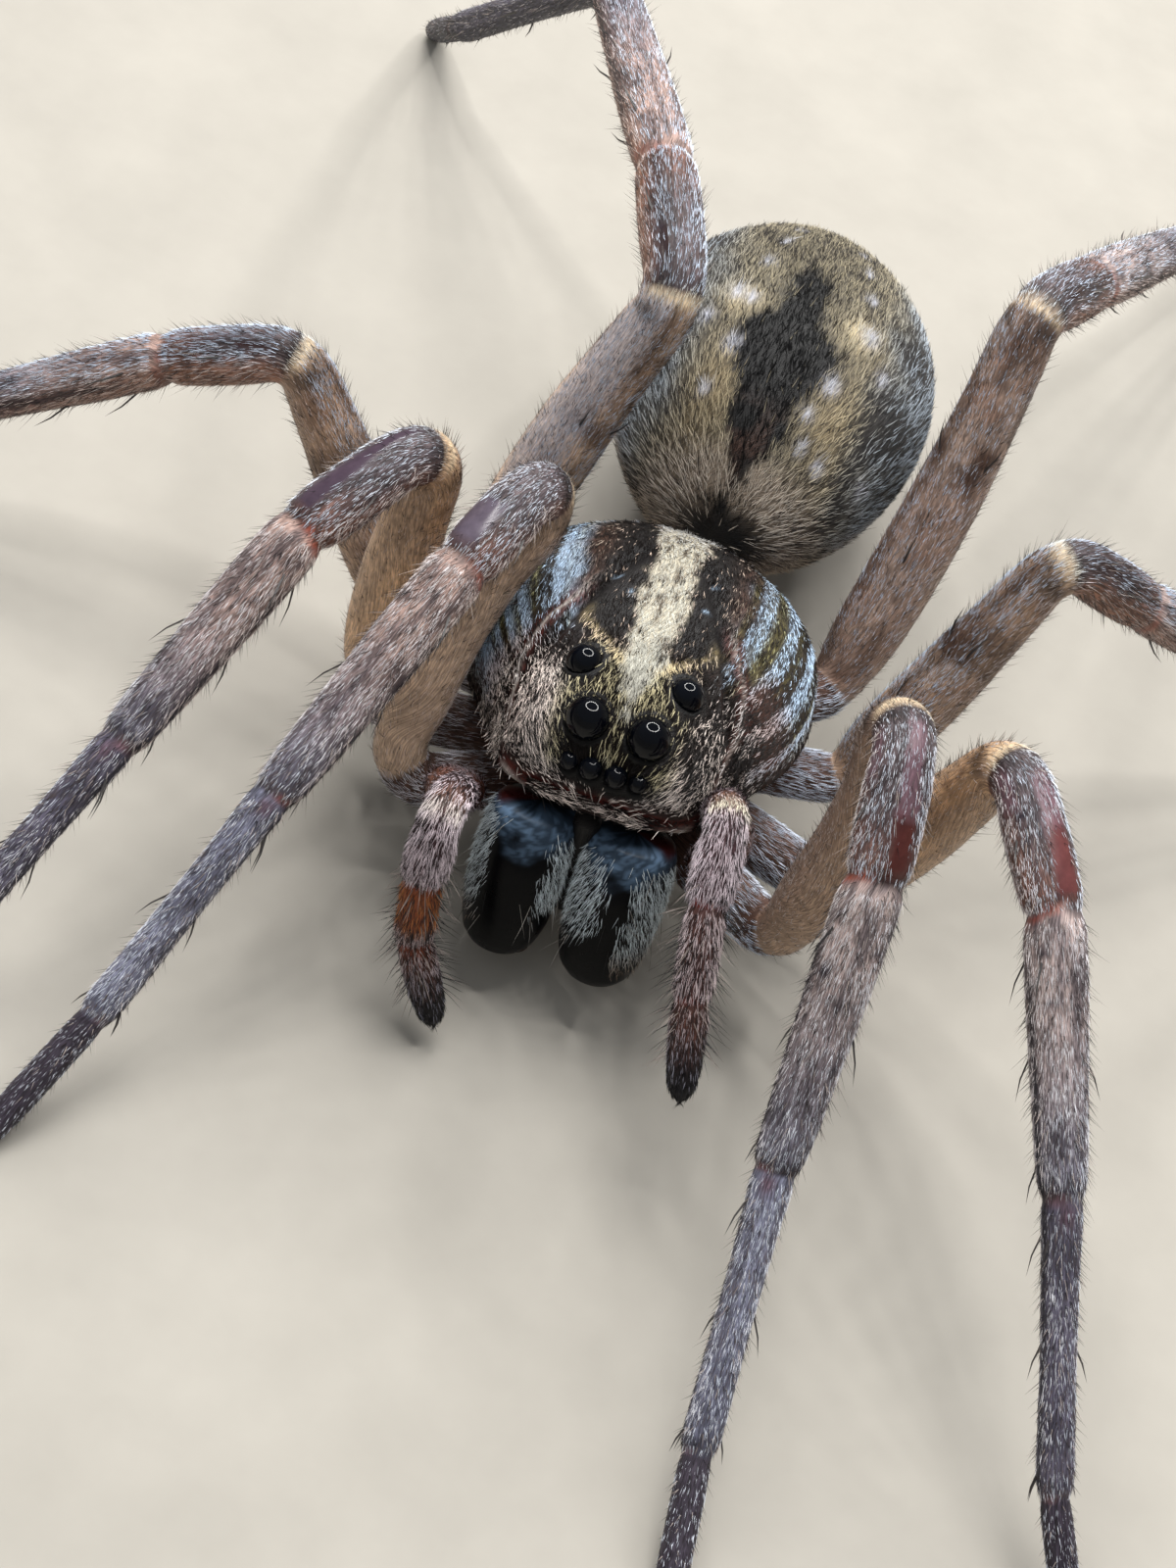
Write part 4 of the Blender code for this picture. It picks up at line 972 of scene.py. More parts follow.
def palp_look(patch):
    f = patch.facts
    pos, dorsal, pro = f["pos"], f["dorsal"], f["pro"]
    fine, mid = noise(patch.P, 0.10, 21), noise(patch.P, 0.3, 22)
    seg = np.clip(np.floor(pos), 0, 3).astype(int)
    t = np.clip(pos - seg, 0, 1)
    femur, patella, tibia, tarsus = (np.where(seg == k, 1.0, 0.0) for k in range(4))
    skin = femur[..., None] * rgb(0.40, 0.25, 0.20) + patella[..., None] * rgb(0.25, 0.17, 0.19) + tibia[..., None] * rgb(0.27, 0.18, 0.17)
    skin = skin + tarsus[..., None] * mix(flat(rgb(0.24, 0.15, 0.13), pos), rgb(0.09, 0.09, 0.11), step(0.25, 0.9, t))
    pale = femur * 0.5 + patella * 0.68 + tibia * 0.56 + tarsus * 0.52 * step(1.0, 0.15, t)
    pale_tone = flat(rgb(0.80, 0.75, 0.78), pos)
    pale_tone = mix(pale_tone, rgb(0.75, 0.69, 0.70), tibia)
    pale_tone = mix(pale_tone, mix(flat(rgb(0.70, 0.63, 0.63), pos), rgb(0.50, 0.50, 0.55), step(0.0, 0.7, t)), tarsus)
    density = femur * 0.7 + patella * 1.25 + tibia * 1.1 + tarsus * 1.1
    bare = 0 * pos
    if f["word"] == "right":
        shin = tibia * step(0.78, 0.62, t)
        skin = mix(skin, rgb(0.46, 0.22, 0.09), shin)
        pale_tone = mix(pale_tone, rgb(0.66, 0.42, 0.24), shin)
        density = density * (1 - 0.45 * shin)
        bare = bare + 0.4 * shin
        skin = mix(skin, rgb(0.36, 0.18, 0.12), tarsus * step(0.35, 0.1, t))
        ink = bump(pos, 1.10, 0.05) * step(0.1, 0.7, -pro)
        skin = mix(skin, rgb(0.05, 0.035, 0.035), ink)
        pale = pale * (1 - 0.8 * ink)
    near = bump(pos, 0.93, 0.06)
    skin = mix(skin, rgb(0.15, 0.10, 0.11), near)
    density = density + 0.5 * near
    rim = bump(pos, 1.02, 0.030) * step(0.0, 0.6, dorsal) * (1.0 if f["word"] == "left" else 0.45)
    pale_tone = mix(pale_tone, rgb(0.90, 0.88, 0.80), rim)
    pale = np.clip(pale + rim * 0.4, 0, 1)
    skin = mix(skin, rgb(0.50, 0.45, 0.40), rim * 0.7)
    for where in (2.0, 3.0):
        gap = bump(pos, where, 0.028) * (1.0 if where == 2.0 else 0.6)
        skin = mix(skin, rgb(0.46, 0.15, 0.14), gap)
        density = density * (1 - 0.92 * gap)
        bare = np.maximum(bare, 0.6 * gap)
    skin = skin * (0.84 + 0.32 * fine[..., None])
    pale = pale * (1 - 0.35 * step(0.55, 0.7, mid))
    length = femur * 0.2 + patella * 0.21 + tibia * 0.20 + tarsus * 0.15
    dark_tone = mix(flat(DARK_HAIR, pos), BLACK_HAIR, tarsus * step(0.2, 0.7, t))
    return dict(skin=skin, pale=pale, pale_tone=pale_tone, dark_tone=dark_tone, density=density, length=length, bare=bare)


def head_line(y):
    """Half width and height of the thin pale line that borders the head."""
    return curve(((-3.6, 1.50, 0.42), (-3.3, 1.74, 0.50), (-2.9, 1.87, 0.90), (-2.5, 1.90, 1.21), (-2.1, 1.92, 1.46), (-1.9, 1.93, 1.62), (-1.5, 1.80, 2.06), (-1.1, 1.50, 2.40), (-0.6, 1.30, 2.52), (-0.2, 1.17, 2.60), (0.4, 1.10, 2.64)), y)


def carapace_look(patch):
    x, y, z = np.moveaxis(patch.facts["local"], -1, 0)
    top = np.clip(patch.facts["top"], -1, 1)
    ax = np.abs(x)
    P = patch.P
    fine, mid, big = noise(P, 0.09, 31), noise(P, 0.30, 32), noise(P, 0.8, 33)
    jag = noise(P, 0.16, 34) - 0.5
    long_jag = noise(np.stack([x * 1.0, y * 0.28, z * 1.0], -1), 0.10, 36) - 0.5
    on_top = step(0.0, 0.25, top)
    skin = flat(rgb(0.13, 0.105, 0.10), x)
    pale = np.full(x.shape, 0.07)
    pale_tone = flat(BUFF, x)
    density = np.full(x.shape, 0.9)
    wide = np.full(x.shape, 1.0)
    turn = np.zeros(x.shape)
    rise = np.ones(x.shape)
    length = 0.17 + 0.03 * step(-2.8, 0.0, y)

    # mottled brown slopes outside the two dark fields
    brown = step(1.0, 1.35, ax) * step(2.4, 1.4, y)
    skin = mix(skin, rgb(0.24, 0.17, 0.14), brown * (0.5 + 0.5 * mid))
    pale = pale + 0.06 * brown * step(0.45, 0.6, mid)
    pale_tone = mix(pale_tone, rgb(0.58, 0.53, 0.48), brown)

    # flanks: blue-white, olive and dark stripes that run along the outline
    arch = np.degrees(np.arcsin(np.clip(top, 0, 1)))
    flank = step(66, 56, arch + 8 * (mid - 0.5)) * step(-2.3, -1.5, y) * on_top
    flank = np.maximum(flank, step(2.0, 2.7, y) * step(0.45, 0.7, ax) * on_top)
    run_y = y * 0.22
    lanes = noise(np.stack([arch / 3.6 + 40 * (x > 0), run_y, 0 * x], -1), 1.0, 37)
    thin_lanes = noise(np.stack([arch / 1.7 + 90 * (x > 0), run_y * 1.3, 0 * x], -1), 1.0, 39)
    stripe = step(0.42, 0.58, 0.66 * lanes + 0.34 * thin_lanes)
    olive_lane = step(0.50, 0.62, noise(np.stack([arch / 2.6 + 60 * (x > 0), run_y * 1.3, 0 * x], -1), 1.0, 40))
    low_front = step(np.where(x > 0, -0.2, -1.0), np.where(x > 0, -1.2, -1.8), y) * step(52, 40, arch)
    skin = mix(skin, rgb(0.19, 0.175, 0.13), flank * 0.8)
    skin = mix(skin, rgb(0.27, 0.18, 0.16), flank * low_front * 0.9)
    skin = mix(skin, rgb(0.36, 0.34, 0.20), flank * olive_lane * 0.6 * (1 - low_front))
    skin = mix(skin, rgb(0.36, 0.41, 0.48), flank * stripe * 0.55 * (1 - low_front))
    skin = mix(skin, rgb(0.56, 0.63, 0.71), flank * stripe * np.where(x > 0, 0.0, 0.75) * (1 - low_front))
    pale = pale * (1 - flank) + flank * (np.where(x > 0, 0.06, 0.24) + np.where(x > 0, 0.56 + 0.30 * step(34, 18, arch), 0.72) * stripe)
    pale_tone = mix(pale_tone, mix(flat(rgb(0.72, 0.82, 0.92), x), rgb(0.64, 0.63, 0.45), olive_lane * (1 - stripe)), flank)
    pale_tone = mix(pale_tone, rgb(0.76, 0.70, 0.70), flank * low_front)
    # margin: a pale fringe over red-brown
    edge = step(16, 8, arch) * step(-2.6, -1.8, y) * on_top
    skin = mix(skin, rgb(0.33, 0.20, 0.17), edge)
    pale = np.maximum(pale, edge * 0.75)
    pale_tone = mix(pale_tone, rgb(0.80, 0.87, 0.95), edge * (1 - 0.4 * low_front))

    # the two dark fields beside the middle band
    outer = curve(((-3.0, 0.9), (-2.2, 1.15), (-1.6, 1.35), (-0.8, 1.25), (0.0, 1.08), (0.8, 1.0), (1.6, 0.95), (2.4, 0.8), (3.2, 0.6)), y)[..., 0]
    field = step(0.10, -0.10, ax - outer + 0.25 * jag) * step(-1.95, -1.7, y - 0.0 + 0.15 * jag) * step(3.0, 2.4, y)
    skin = mix(skin, rgb(0.05, 0.043, 0.05), field * 0.95)
    skin = mix(skin, rgb(0.15, 0.145, 0.15), field * step(0.55, 0.8, big) * 0.35)
    pale = pale * (1 - 0.9 * field) + 0.03 * field
    density = density * (1 - 0.1 * field)

    # face and cheeks: short cream-pink hairs over dark brown
    face = step(-1.75, -2.45, y + 0.5 * jag - 0.35 * step(1.2, 1.7, ax))
    tone_face = mix(flat(rgb(0.91, 0.87, 0.84), x), rgb(0.83, 0.77, 0.74), mid)
    cheek = step(0.85, 1.25, x) * step(-3.6, -3.2, y)
    pale = pale * (1 - face) + face * (0.54 - 0.22 * step(0.50, 0.64, mid) - 0.30 * cheek)
    pale_tone = mix(pale_tone, tone_face, face)
    skin = mix(skin, rgb(0.15, 0.09, 0.085), face)
    density = density + 0.65 * face
    # olive hairs between and behind the eyes
    olive = face * step(1.32, 0.92, ax) * step(1.15, 1.45, z)
    pale_tone = mix(pale_tone, rgb(0.82, 0.79, 0.62), olive * 0.85)
    pale = pale * (1 - 0.22 * olive)
    skin = mix(skin, rgb(0.10, 0.095, 0.07), olive)

    # the middle band
    half = curve(((-3.42, -0.08), (-3.2, 0.05), (-2.9, 0.15), (-2.5, 0.25), (-2.1, 0.34), (-1.6, 0.36), (-1.1, 0.42), (-0.75, 0.48), (-0.35, 0.42), (0.1, 0.35), (0.5, 0.40), (1.0, 0.43), (1.5, 0.48), (2.2, 0.55), (3.0, 0.62), (3.8, 0.6)), y)[..., 0]
    band = step(0.06, -0.06, np.abs(x - 0.04) - half + 0.26 * long_jag + 0.10 * jag) * on_top
    thread = step(0.57, 0.70, noise(np.stack([x * 3.2, y * 0.5, z * 0.5], -1), 0.12, 38)) * band
    skin = mix(skin, rgb(0.62, 0.60, 0.54), band)
    skin = mix(skin, rgb(0.24, 0.19, 0.14), thread * 0.8)
    pale = pale * (1 - band) + band * (1.0 - 0.55 * thread)
    pale_tone = mix(pale_tone, rgb(0.77, 0.77, 0.735), band)
    pale_tone = mix(pale_tone, rgb(0.81, 0.82, 0.83), band * step(0.8, 2.2, y))
    density = np.maximum(density, 1.15 * band)
    # the arms that curl out from it over the rear eyes
    path = -2.28 + 0.95 * (ax - 0.35)
    arm = bump(y - path + 0.22 * jag, 0, 0.060) * step(0.18, 0.4, ax) * step(1.22, 1.05, ax)
    hook = np.exp(-(((ax - 1.13) / 0.09) ** 2) - (((y + 1.45) / 0.20) ** 2))
    arm = np.clip(np.maximum(arm * 1.15, hook * 0.6), 0, 1)
    pale = np.maximum(pale, arm * 0.97)
    pale_tone = mix(pale_tone, rgb(0.85, 0.79, 0.64), arm)
    skin = mix(skin, rgb(0.50, 0.45, 0.33), arm * 0.85)
    density = np.maximum(density, 1.2 * arm)
    turn = turn + np.sign(x) * 0.65 * arm * step(0.25, 0.5, ax)

    # small bluish dots in the dark fields
    for dx, dy in ((-0.86, -0.32), (-0.56, -0.78), (0.76, -0.62), (0.80, 0.25)):
        dot = np.exp(-((x - dx) ** 2 + (y - dy) ** 2) / 0.045**2)
        skin = mix(skin, rgb(0.50, 0.58, 0.66), np.clip(dot * 1.2, 0, 1))
        pale = np.maximum(pale, dot)
        pale_tone = mix(pale_tone, BLUE_WHITE, dot)
    # dark patches beside and behind the rear eyes
    eye_side_dark = np.exp(-(((ax - 1.35) / 0.30) ** 2) - (((y + 1.95) / 0.34) ** 2)) * (1 - arm)
    skin = mix(skin, rgb(0.11, 0.07, 0.065), np.clip(eye_side_dark * 1.2, 0, 1))
    pale = pale * (1 - 0.85 * np.clip(eye_side_dark * 1.2, 0, 1))

    # the thin pale line along the head's border, red-brown on both sides
    line_x, line_z = np.moveaxis(head_line(y), -1, 0)
    low_part = step(-1.75, -2.05, y)
    gone = np.abs(ax - line_x) * 0.8 * (1 - low_part) + np.abs(z - line_z) * 0.8 * low_part + 3.0 * step(1.2, 0.8, ax) * low_part
    reach = step(-0.2, -1.1, y)
    red = step(0.22, 0.09, gone) * reach * step(-0.2, -1.0, y)
    skin = mix(skin, rgb(0.27, 0.11, 0.09), red * 0.9)
    pale = pale * (1 - 0.85 * red)
    density = density * (1 - (0.5 + 0.35 * low_part) * red)
    thin = bump(gone, 0, np.where(low_part > 0.5, 0.058, 0.034)) * reach
    skin = mix(skin, rgb(0.66, 0.64, 0.62), thin * np.where(x > 0, 0.6, 0.9))
    pale = np.maximum(pale, thin)
    density = density * (1 - 0.8 * thin)
    pale_tone = mix(pale_tone, rgb(0.80, 0.79, 0.79), thin)

    # the groove over the face's lower edge
    groove = bump(z - (0.80 - 0.12 * ax**1.5), 0, 0.085) * step(-2.9, -3.3, y)
    skin = mix(skin, rgb(0.33, 0.12, 0.10), np.clip(1.2 * groove, 0, 1))
    clear = bump(z - (0.90 - 0.12 * ax**1.5), 0, 0.15) * step(-2.9, -3.3, y)
    density = density * (1 - 0.94 * np.clip(1.3 * clear, 0, 1))
    pale = pale * (1 - 0.75 * groove)
    brow = step(-3.1, -3.45, y) * step(1.15, 0.8, z)
    turn = turn - np.sign(x) * 0.15 * face * step(0.45, 0.9, ax) * (1 - brow) - np.tanh(x * 4) * 0.45 * brow
    rise = rise + 0.9 * brow + 0.25 * face
    length = length + 0.03 * brow + 0.07 * face
    # the hairs just over the groove are short, so that it stays open
    over = bump(z - (1.12 - 0.12 * ax**1.5), 0, 0.16) * step(-3.1, -3.5, y)
    length = length * (1 - 0.62 * over)

    for _, centre, radius, _ in eye_places():
        d = np.linalg.norm(P - centre, axis=-1)
        ring = 0.10 if radius > 0.25 else 0.16
        skin = mix(skin, rgb(0.02, 0.02, 0.025), step(radius + ring + 0.10, radius + ring, d + 0.05 * jag))
        density = density * step(radius + 0.04, radius + ring + 0.04, d + 0.06 * jag)
        pale = pale * (0.45 + 0.55 * step(radius + ring, radius + ring + 0.18, d))
        rise = rise * (0.5 + 0.5 * step(radius + 0.05, radius + 0.30, d))
    skin = skin * (0.76 + 0.48 * fine[..., None])
    density = density * step(-0.2, 0.05, patch.facts["top"])
    return dict(skin=skin, pale=np.clip(pale, 0, 1), pale_tone=pale_tone, dark_tone=flat(rgb(0.085, 0.065, 0.06), x), density=density, length=length, bare=0 * x, wide=wide, turn=turn, rise=rise)


def abdomen_look(patch):
    x, y, z = np.moveaxis(patch.facts["local"], -1, 0)
    ax = np.abs(x)
    P = patch.P
    fine, mid, broad = noise(P, 0.14, 41), noise(P, 0.42, 42), noise(P, 1.0, 43)
    above = step(-0.25, 0.30, z)
    side = step(0.42, 0.80, ax + 0.2 * (mid - 0.5))
    skin = mix(flat(rgb(0.355, 0.335, 0.285), x), rgb(0.27, 0.29, 0.31), side)
    pale = 0.58 + 0.5 * (mid - 0.5)
    pale_tone = mix(flat(rgb(0.70, 0.665, 0.57), x), rgb(0.66, 0.71, 0.76), side)
    # olive-cream fields beside the mark, in front paler and pinkish
    beside = np.exp(-(((ax - 0.36) / 0.17) ** 2) - (((y + 0.55) / 0.26) ** 2)) * above
    skin = mix(skin, rgb(0.45, 0.40, 0.30), beside * 0.8)
    pale_tone = mix(pale_tone, rgb(0.79, 0.735, 0.61), beside)
    pale = pale + 0.15 * beside
    front = step(-0.72, -0.90, y)
    pale_tone = mix(pale_tone, rgb(0.82, 0.78, 0.73), front)
    skin = mix(skin, rgb(0.52, 0.47, 0.42), front * 0.8)
    pale = pale + 0.18 * front
    # dark grey mottling down the sides
    mott = step(0.52, 0.66, broad + 0.25 * (mid - 0.5)) * step(0.40, 0.62, ax)
    skin = mix(skin, rgb(0.12, 0.12, 0.14), mott * 0.75)
    pale = pale * (1 - 0.65 * mott)
    # two pale patches at the mark's waist
    for cx, cy, wx, wy in ((-0.41, -0.07, 0.125, 0.085), (0.36, -0.03, 0.135, 0.10)):
        blob = np.clip(1.25 * np.exp(-(((x - cx) / wx) ** 2) - (((y - cy) / wy) ** 2)), 0, 1) * above
        skin = mix(skin, rgb(0.66, 0.61, 0.49), blob)
        pale = np.maximum(pale, blob)
        pale_tone = mix(pale_tone, rgb(0.87, 0.84, 0.75), blob)
    # the dark mark: two lobes and a narrow neck behind them
    half = curve(((-0.92, 0.01), (-0.84, 0.08), (-0.74, 0.16), (-0.60, 0.20), (-0.46, 0.26), (-0.30, 0.32), (-0.22, 0.31), (-0.13, 0.15), (0.0, 0.115), (0.14, 0.12), (0.22, 0.06), (0.30, -0.03)), y)[..., 0]
    heart = step(0.035, -0.035, np.abs(x + 0.05) - half + (mid - 0.5) * 0.08 + (fine - 0.5) * 0.06) * step(0.0, 0.3, z)
    skin = mix(skin, rgb(0.03, 0.03, 0.04), heart)
    skin = mix(skin, rgb(0.20, 0.13, 0.10), heart * step(0.5, 0.65, mid) * step(-0.5, -0.75, y))
    pale = pale * (1 - heart) + 0.02 * heart
    dark_tone = mix(flat(rgb(0.12, 0.105, 0.10), x), rgb(0.035, 0.035, 0.045), heart)
    # faint bars behind the mark
    bar = step(0.35, 0.85, np.cos((y - 0.45 * ax) * 24)) * step(0.22, 0.40, y) * above * step(0.62, 0.35, ax)
    pale = pale * (1 - 0.45 * bar)
    skin = mix(skin, rgb(0.15, 0.14, 0.14), bar * 0.55)
    # small white spots
    for sx, sy, r in ((-0.45, -0.04, 0.045), (-0.36, -0.07, 0.04), (-0.37, -0.35, 0.045), (0.41, -0.01, 0.055), (0.28, -0.38, 0.05), (0.57, -0.16, 0.04), (0.21, -0.56, 0.032), (0.25, -0.69, 0.032), (0.39, -0.71, 0.032), (0.69, -0.60, 0.03), (-0.57, -0.20, 0.04), (-0.42, -0.58, 0.032), (0.34, 0.24, 0.035), (-0.34, 0.22, 0.035), (0.28, 0.45, 0.03), (-0.28, 0.45, 0.03), (0.22, 0.64, 0.028), (-0.22, 0.64, 0.028)):
        spot = np.clip(1.3 * np.exp(-((x - sx) ** 2 + (y - sy) ** 2) / (0.86 * r) ** 2), 0, 1) * above
        pale = np.maximum(pale, spot)
        skin = mix(skin, rgb(0.72, 0.74, 0.80), spot * 0.9)
        pale_tone = mix(pale_tone, rgb(0.84, 0.86, 0.91), spot)
    under = step(0.1, -0.5, z)
    skin = mix(skin, rgb(0.36, 0.31, 0.26), under)
    pale_tone = mix(pale_tone, rgb(0.68, 0.61, 0.53), under)
    # dark where it meets the waist
    waist = step(-0.93, -0.99, y)
    skin = mix(skin, rgb(0.06, 0.05, 0.05), waist)
    pale = pale * (1 - 0.8 * waist)
    skin = skin * (0.78 + 0.44 * fine[..., None])
    density = np.full(x.shape, 1.0) * step(-1.0, -0.985, y)
    skin, pale_tone = skin * 0.72, pale_tone * 0.71
    return dict(skin=skin, pale=np.clip(pale, 0, 1), pale_tone=pale_tone, dark_tone=dark_tone, density=density, length=np.full(x.shape, 0.25), bare=0 * x)


def plain_look(patch, skin_tone, pale_share, pale_tone, density, length, seed):
    shape = patch.P.shape
    fine = noise(patch.P, 0.15, seed)
    skin = np.broadcast_to(skin_tone, shape) * (0.8 + 0.4 * fine[..., None])
    return dict(
        skin=skin,
        pale=np.full(shape[:2], pale_share),
        pale_tone=np.broadcast_to(pale_tone, shape),
        dark_tone=np.broadcast_to(DARK_HAIR, shape),
        density=np.full(shape[:2], float(density)),
        length=np.full(shape[:2], float(length)),
        bare=np.zeros(shape[:2]),
    )


# ================================================================ build the skin
legs = {name: leg_patch(name) for name in STANCE}
palps = {word: palp_patch(side, word) for side, word in ((1, "left"), (-1, "right"))}
carapace = carapace_patch()
relief_carapace(carapace)
abdomen = abdomen_patch()
sternum = sternum_patch()

small = []
across_body = AXES @ np.array([1.0, 0, 0])
for side, word in ((1, "left"), (-1, "right")):
    mirror = np.array([side, 1, 1])
    a, b = from_body(np.array(MAXILLA[0]) * mirror), from_body(np.array(MAXILLA[1]) * mirror)
    t = np.linspace(0, 1, 14)
    half = curve(((0.0, 0.40), (0.5, 0.40), (0.85, 0.34), (1.0, 0.22)), t)[:, 0]
    small.append(round_patch(f"maxilla_{word}", a + (b - a) * t[:, None] * 0.99, half, across_body, 24, cap=0.12, kind="maxilla"))
# a round piece behind the gap between the jaws, coloured near black as painted shade in that gap
jaw_gap_shade_top, jaw_gap_shade_end = from_body((0, -3.70, 0.28)), from_body((0, -3.34, -2.2))
jaw_gap_shade = round_patch("jaw_gap_shade", jaw_gap_shade_top + (jaw_gap_shade_end - jaw_gap_shade_top) * t[:, None], 0.24 + 0 * t, across_body, 24, cap=0.12, kind="jaw_gap_shade")
turn, base = abdomen_frame()
low = 1.15
front = ABDOMEN_HALF[1] * math.sqrt(1 - (low / ABDOMEN_HALF[2]) ** 2)
a, b = from_body((0, 2.30, -0.93)), turn @ np.array([0, -front + 0.1, -low]) + base
t = np.linspace(0, 1, 16)
half = 0.33 - 0.05 * np.sin(t * math.pi)
small.append(round_patch("waist", a + (b - a) * t[:, None], half, (1.0, 0, 0), 24, cap=0.05, kind="waist"))
end, back = turn @ np.array([0, ABDOMEN_HALF[1], -0.35]) + base, turn @ np.array([0, 1.0, 0])
t = np.linspace(0, 1, 14)
small.append(round_patch("mound", end + back * (t[:, None] * 0.36 - 0.18), 0.46 - 0.10 * t**2, (1.0, 0, 0), 30, cap=0.14, kind="mound"))
for k, (x, z, long, width) in enumerate(((0.24, -0.17, 0.75, 0.16), (0.22, 0.2, 0.62, 0.14))):
    for side, word in ((1, "left"), (-1, "right")):
        foot = end + np.array([side * x, 0, z]) + back * 0.05
        way = unit(back + np.array([side * 0.25, 0, -0.15 if z < 0 else 0.12]))
        small.append(round_patch(f"spinneret_{k}_{word}", foot + way * (long - 0.02) * t[:, None], (width - 0.02) * (1 - 0.35 * t**2), (1.0, 0, 0), 18, cap=0.10, kind="spinneret"))

LOOKS = {}
for patch in legs.values():
    LOOKS[patch.name] = leg_look(patch)
for patch in palps.values():
    LOOKS[patch.name] = palp_look(patch)
LOOKS["carapace"] = carapace_look(carapace)
LOOKS["abdomen"] = abdomen_look(abdomen)
LOOKS["sternum"] = plain_look(sternum, rgb(0.17, 0.12, 0.10), 0.45, rgb(0.60, 0.54, 0.47), 0.8, 0.28, 51)
for patch in small:
    tone = rgb(0.16, 0.08, 0.06) if patch.facts["kind"] in ("maxilla", "waist") else rgb(0.26, 0.235, 0.20)
    LOOKS[patch.name] = plain_look(patch, tone, 0.5, rgb(0.62, 0.55, 0.46), 0.6, 0.2, 52)

# painted shade: the piece behind the jaws' gap is near black
LOOKS["jaw_gap_shade"] = plain_look(jaw_gap_shade, rgb(0.035, 0.03, 0.035), 0.5, rgb(0.3, 0.3, 0.3), 0.5, 0.2, 53)

ALL = list(legs.values()) + list(palps.values()) + [carapace, abdomen, sternum, jaw_gap_shade] + small


def shelves(patches, gap=0.006):
    """A place on the unwrap for each patch: one shelf each, as high as its share."""
    sizes = []
    for p in patches:
        long = np.linalg.norm(np.diff(p.P.mean(axis=1), axis=0), axis=1).sum() + 0.5
        sizes.append(max(area_of(p) / long, 0.2))
    total = sum(sizes)
    rects, v = {}, gap
    room = 1 - gap * (len(patches) + 1)
    for p, size in zip(patches, sizes):
        high = room * size / total
        rects[p.name] = (gap, v, 1 - gap, v + high)
        v += high + gap
    return rects


rects = shelves(ALL)
for patch in ALL:
    look = LOOKS[patch.name]
    patch.facts["tone"] = look["skin"]
    patch.facts["gloss"] = look["bare"][..., None]
    rows, cols = patch.P.shape[:2]
    d = np.linalg.norm(np.diff(patch.P, axis=0), axis=-1)
    along = np.concatenate([np.zeros((1, cols)), np.cumsum(d, axis=0)])
    e = np.linalg.norm(np.diff(patch.P, axis=1), axis=-1)
    width = np.concatenate([np.zeros((rows, 1)), np.cumsum(e, axis=1)], axis=1)
    patch.facts["lie"] = np.stack([along, width, np.zeros_like(along) + 3.1 * (ALL.index(patch) + 1)], -1)
points, faces, uv, columns = grid_mesh(ALL, rects, ("tone", "gloss", "lie"))
skin = mesh_object("skin", points, faces, columns, uv)
print("skin faces", len(faces))

# ================================================================ the coat
FEW = 1.0


def fur(coat, patch, count, rng, width, rise, spread=9.0, curved=0.0, keep=None, fall=0.35, long=1.0, extra_density=None):
    look = LOOKS[patch.name]
    density = look["density"] if extra_density is None else look["density"] * extra_density
    found = scatter(patch, int(count * FEW), rng, density)
    if found is None:
        return
    at = found["at"]
    n = len(found["P"])
    keepers = np.ones(n, bool) if keep is None else keep(found)
    pale = at(look["pale"])
    tone = two_tones(rng, pale, at(look["pale_tone"]), at(look["dark_tone"]))
    length = at(look["length"]) * np.exp(rng.normal(0, 0.20, n)) * long
    swing = at(look["turn"]) if "turn" in look else None
    up = rise * np.exp(rng.normal(0, 0.35, n)) * (at(look["rise"]) if "rise" in look else 1.0)
    way = lay(found, rng, up, spread, swing)
    root = found["P"] - found["N"] * 0.012
    wide = width * np.exp(rng.normal(0, 0.2, n)) * (at(look["wide"]) if "wide" in look else 1.0)
    place = coat.place(patch, found["u"], found["v"])
    bent = rng.random(n) < curved
    for group, kind in ((keepers & ~bent, "straight"), (keepers & bent, "curved")):
        if not group.any():
            continue
        args = (root[group], way[group], found["N"][group], length[group], wide[group], tone[group], place[group])
        if kind == "straight":
            coat.straight(*args)
        else:
            sink = -found["N"][group] * fall * np.sin(np.radians(up[group]))[:, None] * 1.2
            side = np.cross(found["N"][group], found["D"][group]) * (rng.normal(0, 0.12, group.sum()))[:, None]
            coat.curved(*args, sink + side)


coats = []
for order, (name, patch) in enumerate(legs.items()):
    rng = np.random.default_rng(100 + order)
    coat = Coat(f"coat_leg_{name}", shelves([patch]))
    fur(coat, patch, 24900, rng, 0.0138, 7.5, 8.0)
    # fine dark hairs that stand a little off the outline
    look = LOOKS[patch.name]
    found = scatter(patch, int(2300 * FEW), rng, (0.25 + look["density"]) * step(0.3, 1.0, patch.facts["pos"]))
    n = len(found["P"])
    way = lay(found, rng, rng.uniform(26, 52, n), 12.0)
    length = np.interp(found["at"](patch.facts["pos"]), (0, 1, 2, 4, 5, 6), (0.16, 0.16, 0.27, 0.25, 0.18, 0.12)) * np.exp(rng.normal(0, 0.25, n))
    tone = two_tones(rng, np.full(n, 0.34), rgb(0.62, 0.58, 0.56), rgb(0.085, 0.075, 0.085))
    coat.straight(found["P"], way, found["N"], length, np.full(n, 0.0115), tone, coat.place(patch, found["u"], found["v"]))
    coats.append((coat.make(), "leg"))

rng = np.random.default_rng(200)
local = carapace.facts["local"]
front = step(-1.2, -1.9, local[..., 1])
coat = Coat("coat_face", shelves([carapace]))
fur(coat, carapace, 23000, rng, 0.0172, 13.0, 12.0, curved=0.30, extra_density=front)
coats.append((coat.make(), "carapace"))
coat = Coat("coat_chest", shelves([carapace]))
fur(coat, carapace, 30000, rng, 0.0165, 9.0, 9.0, curved=0.08, extra_density=1 - front)
coats.append((coat.make(), "carapace"))

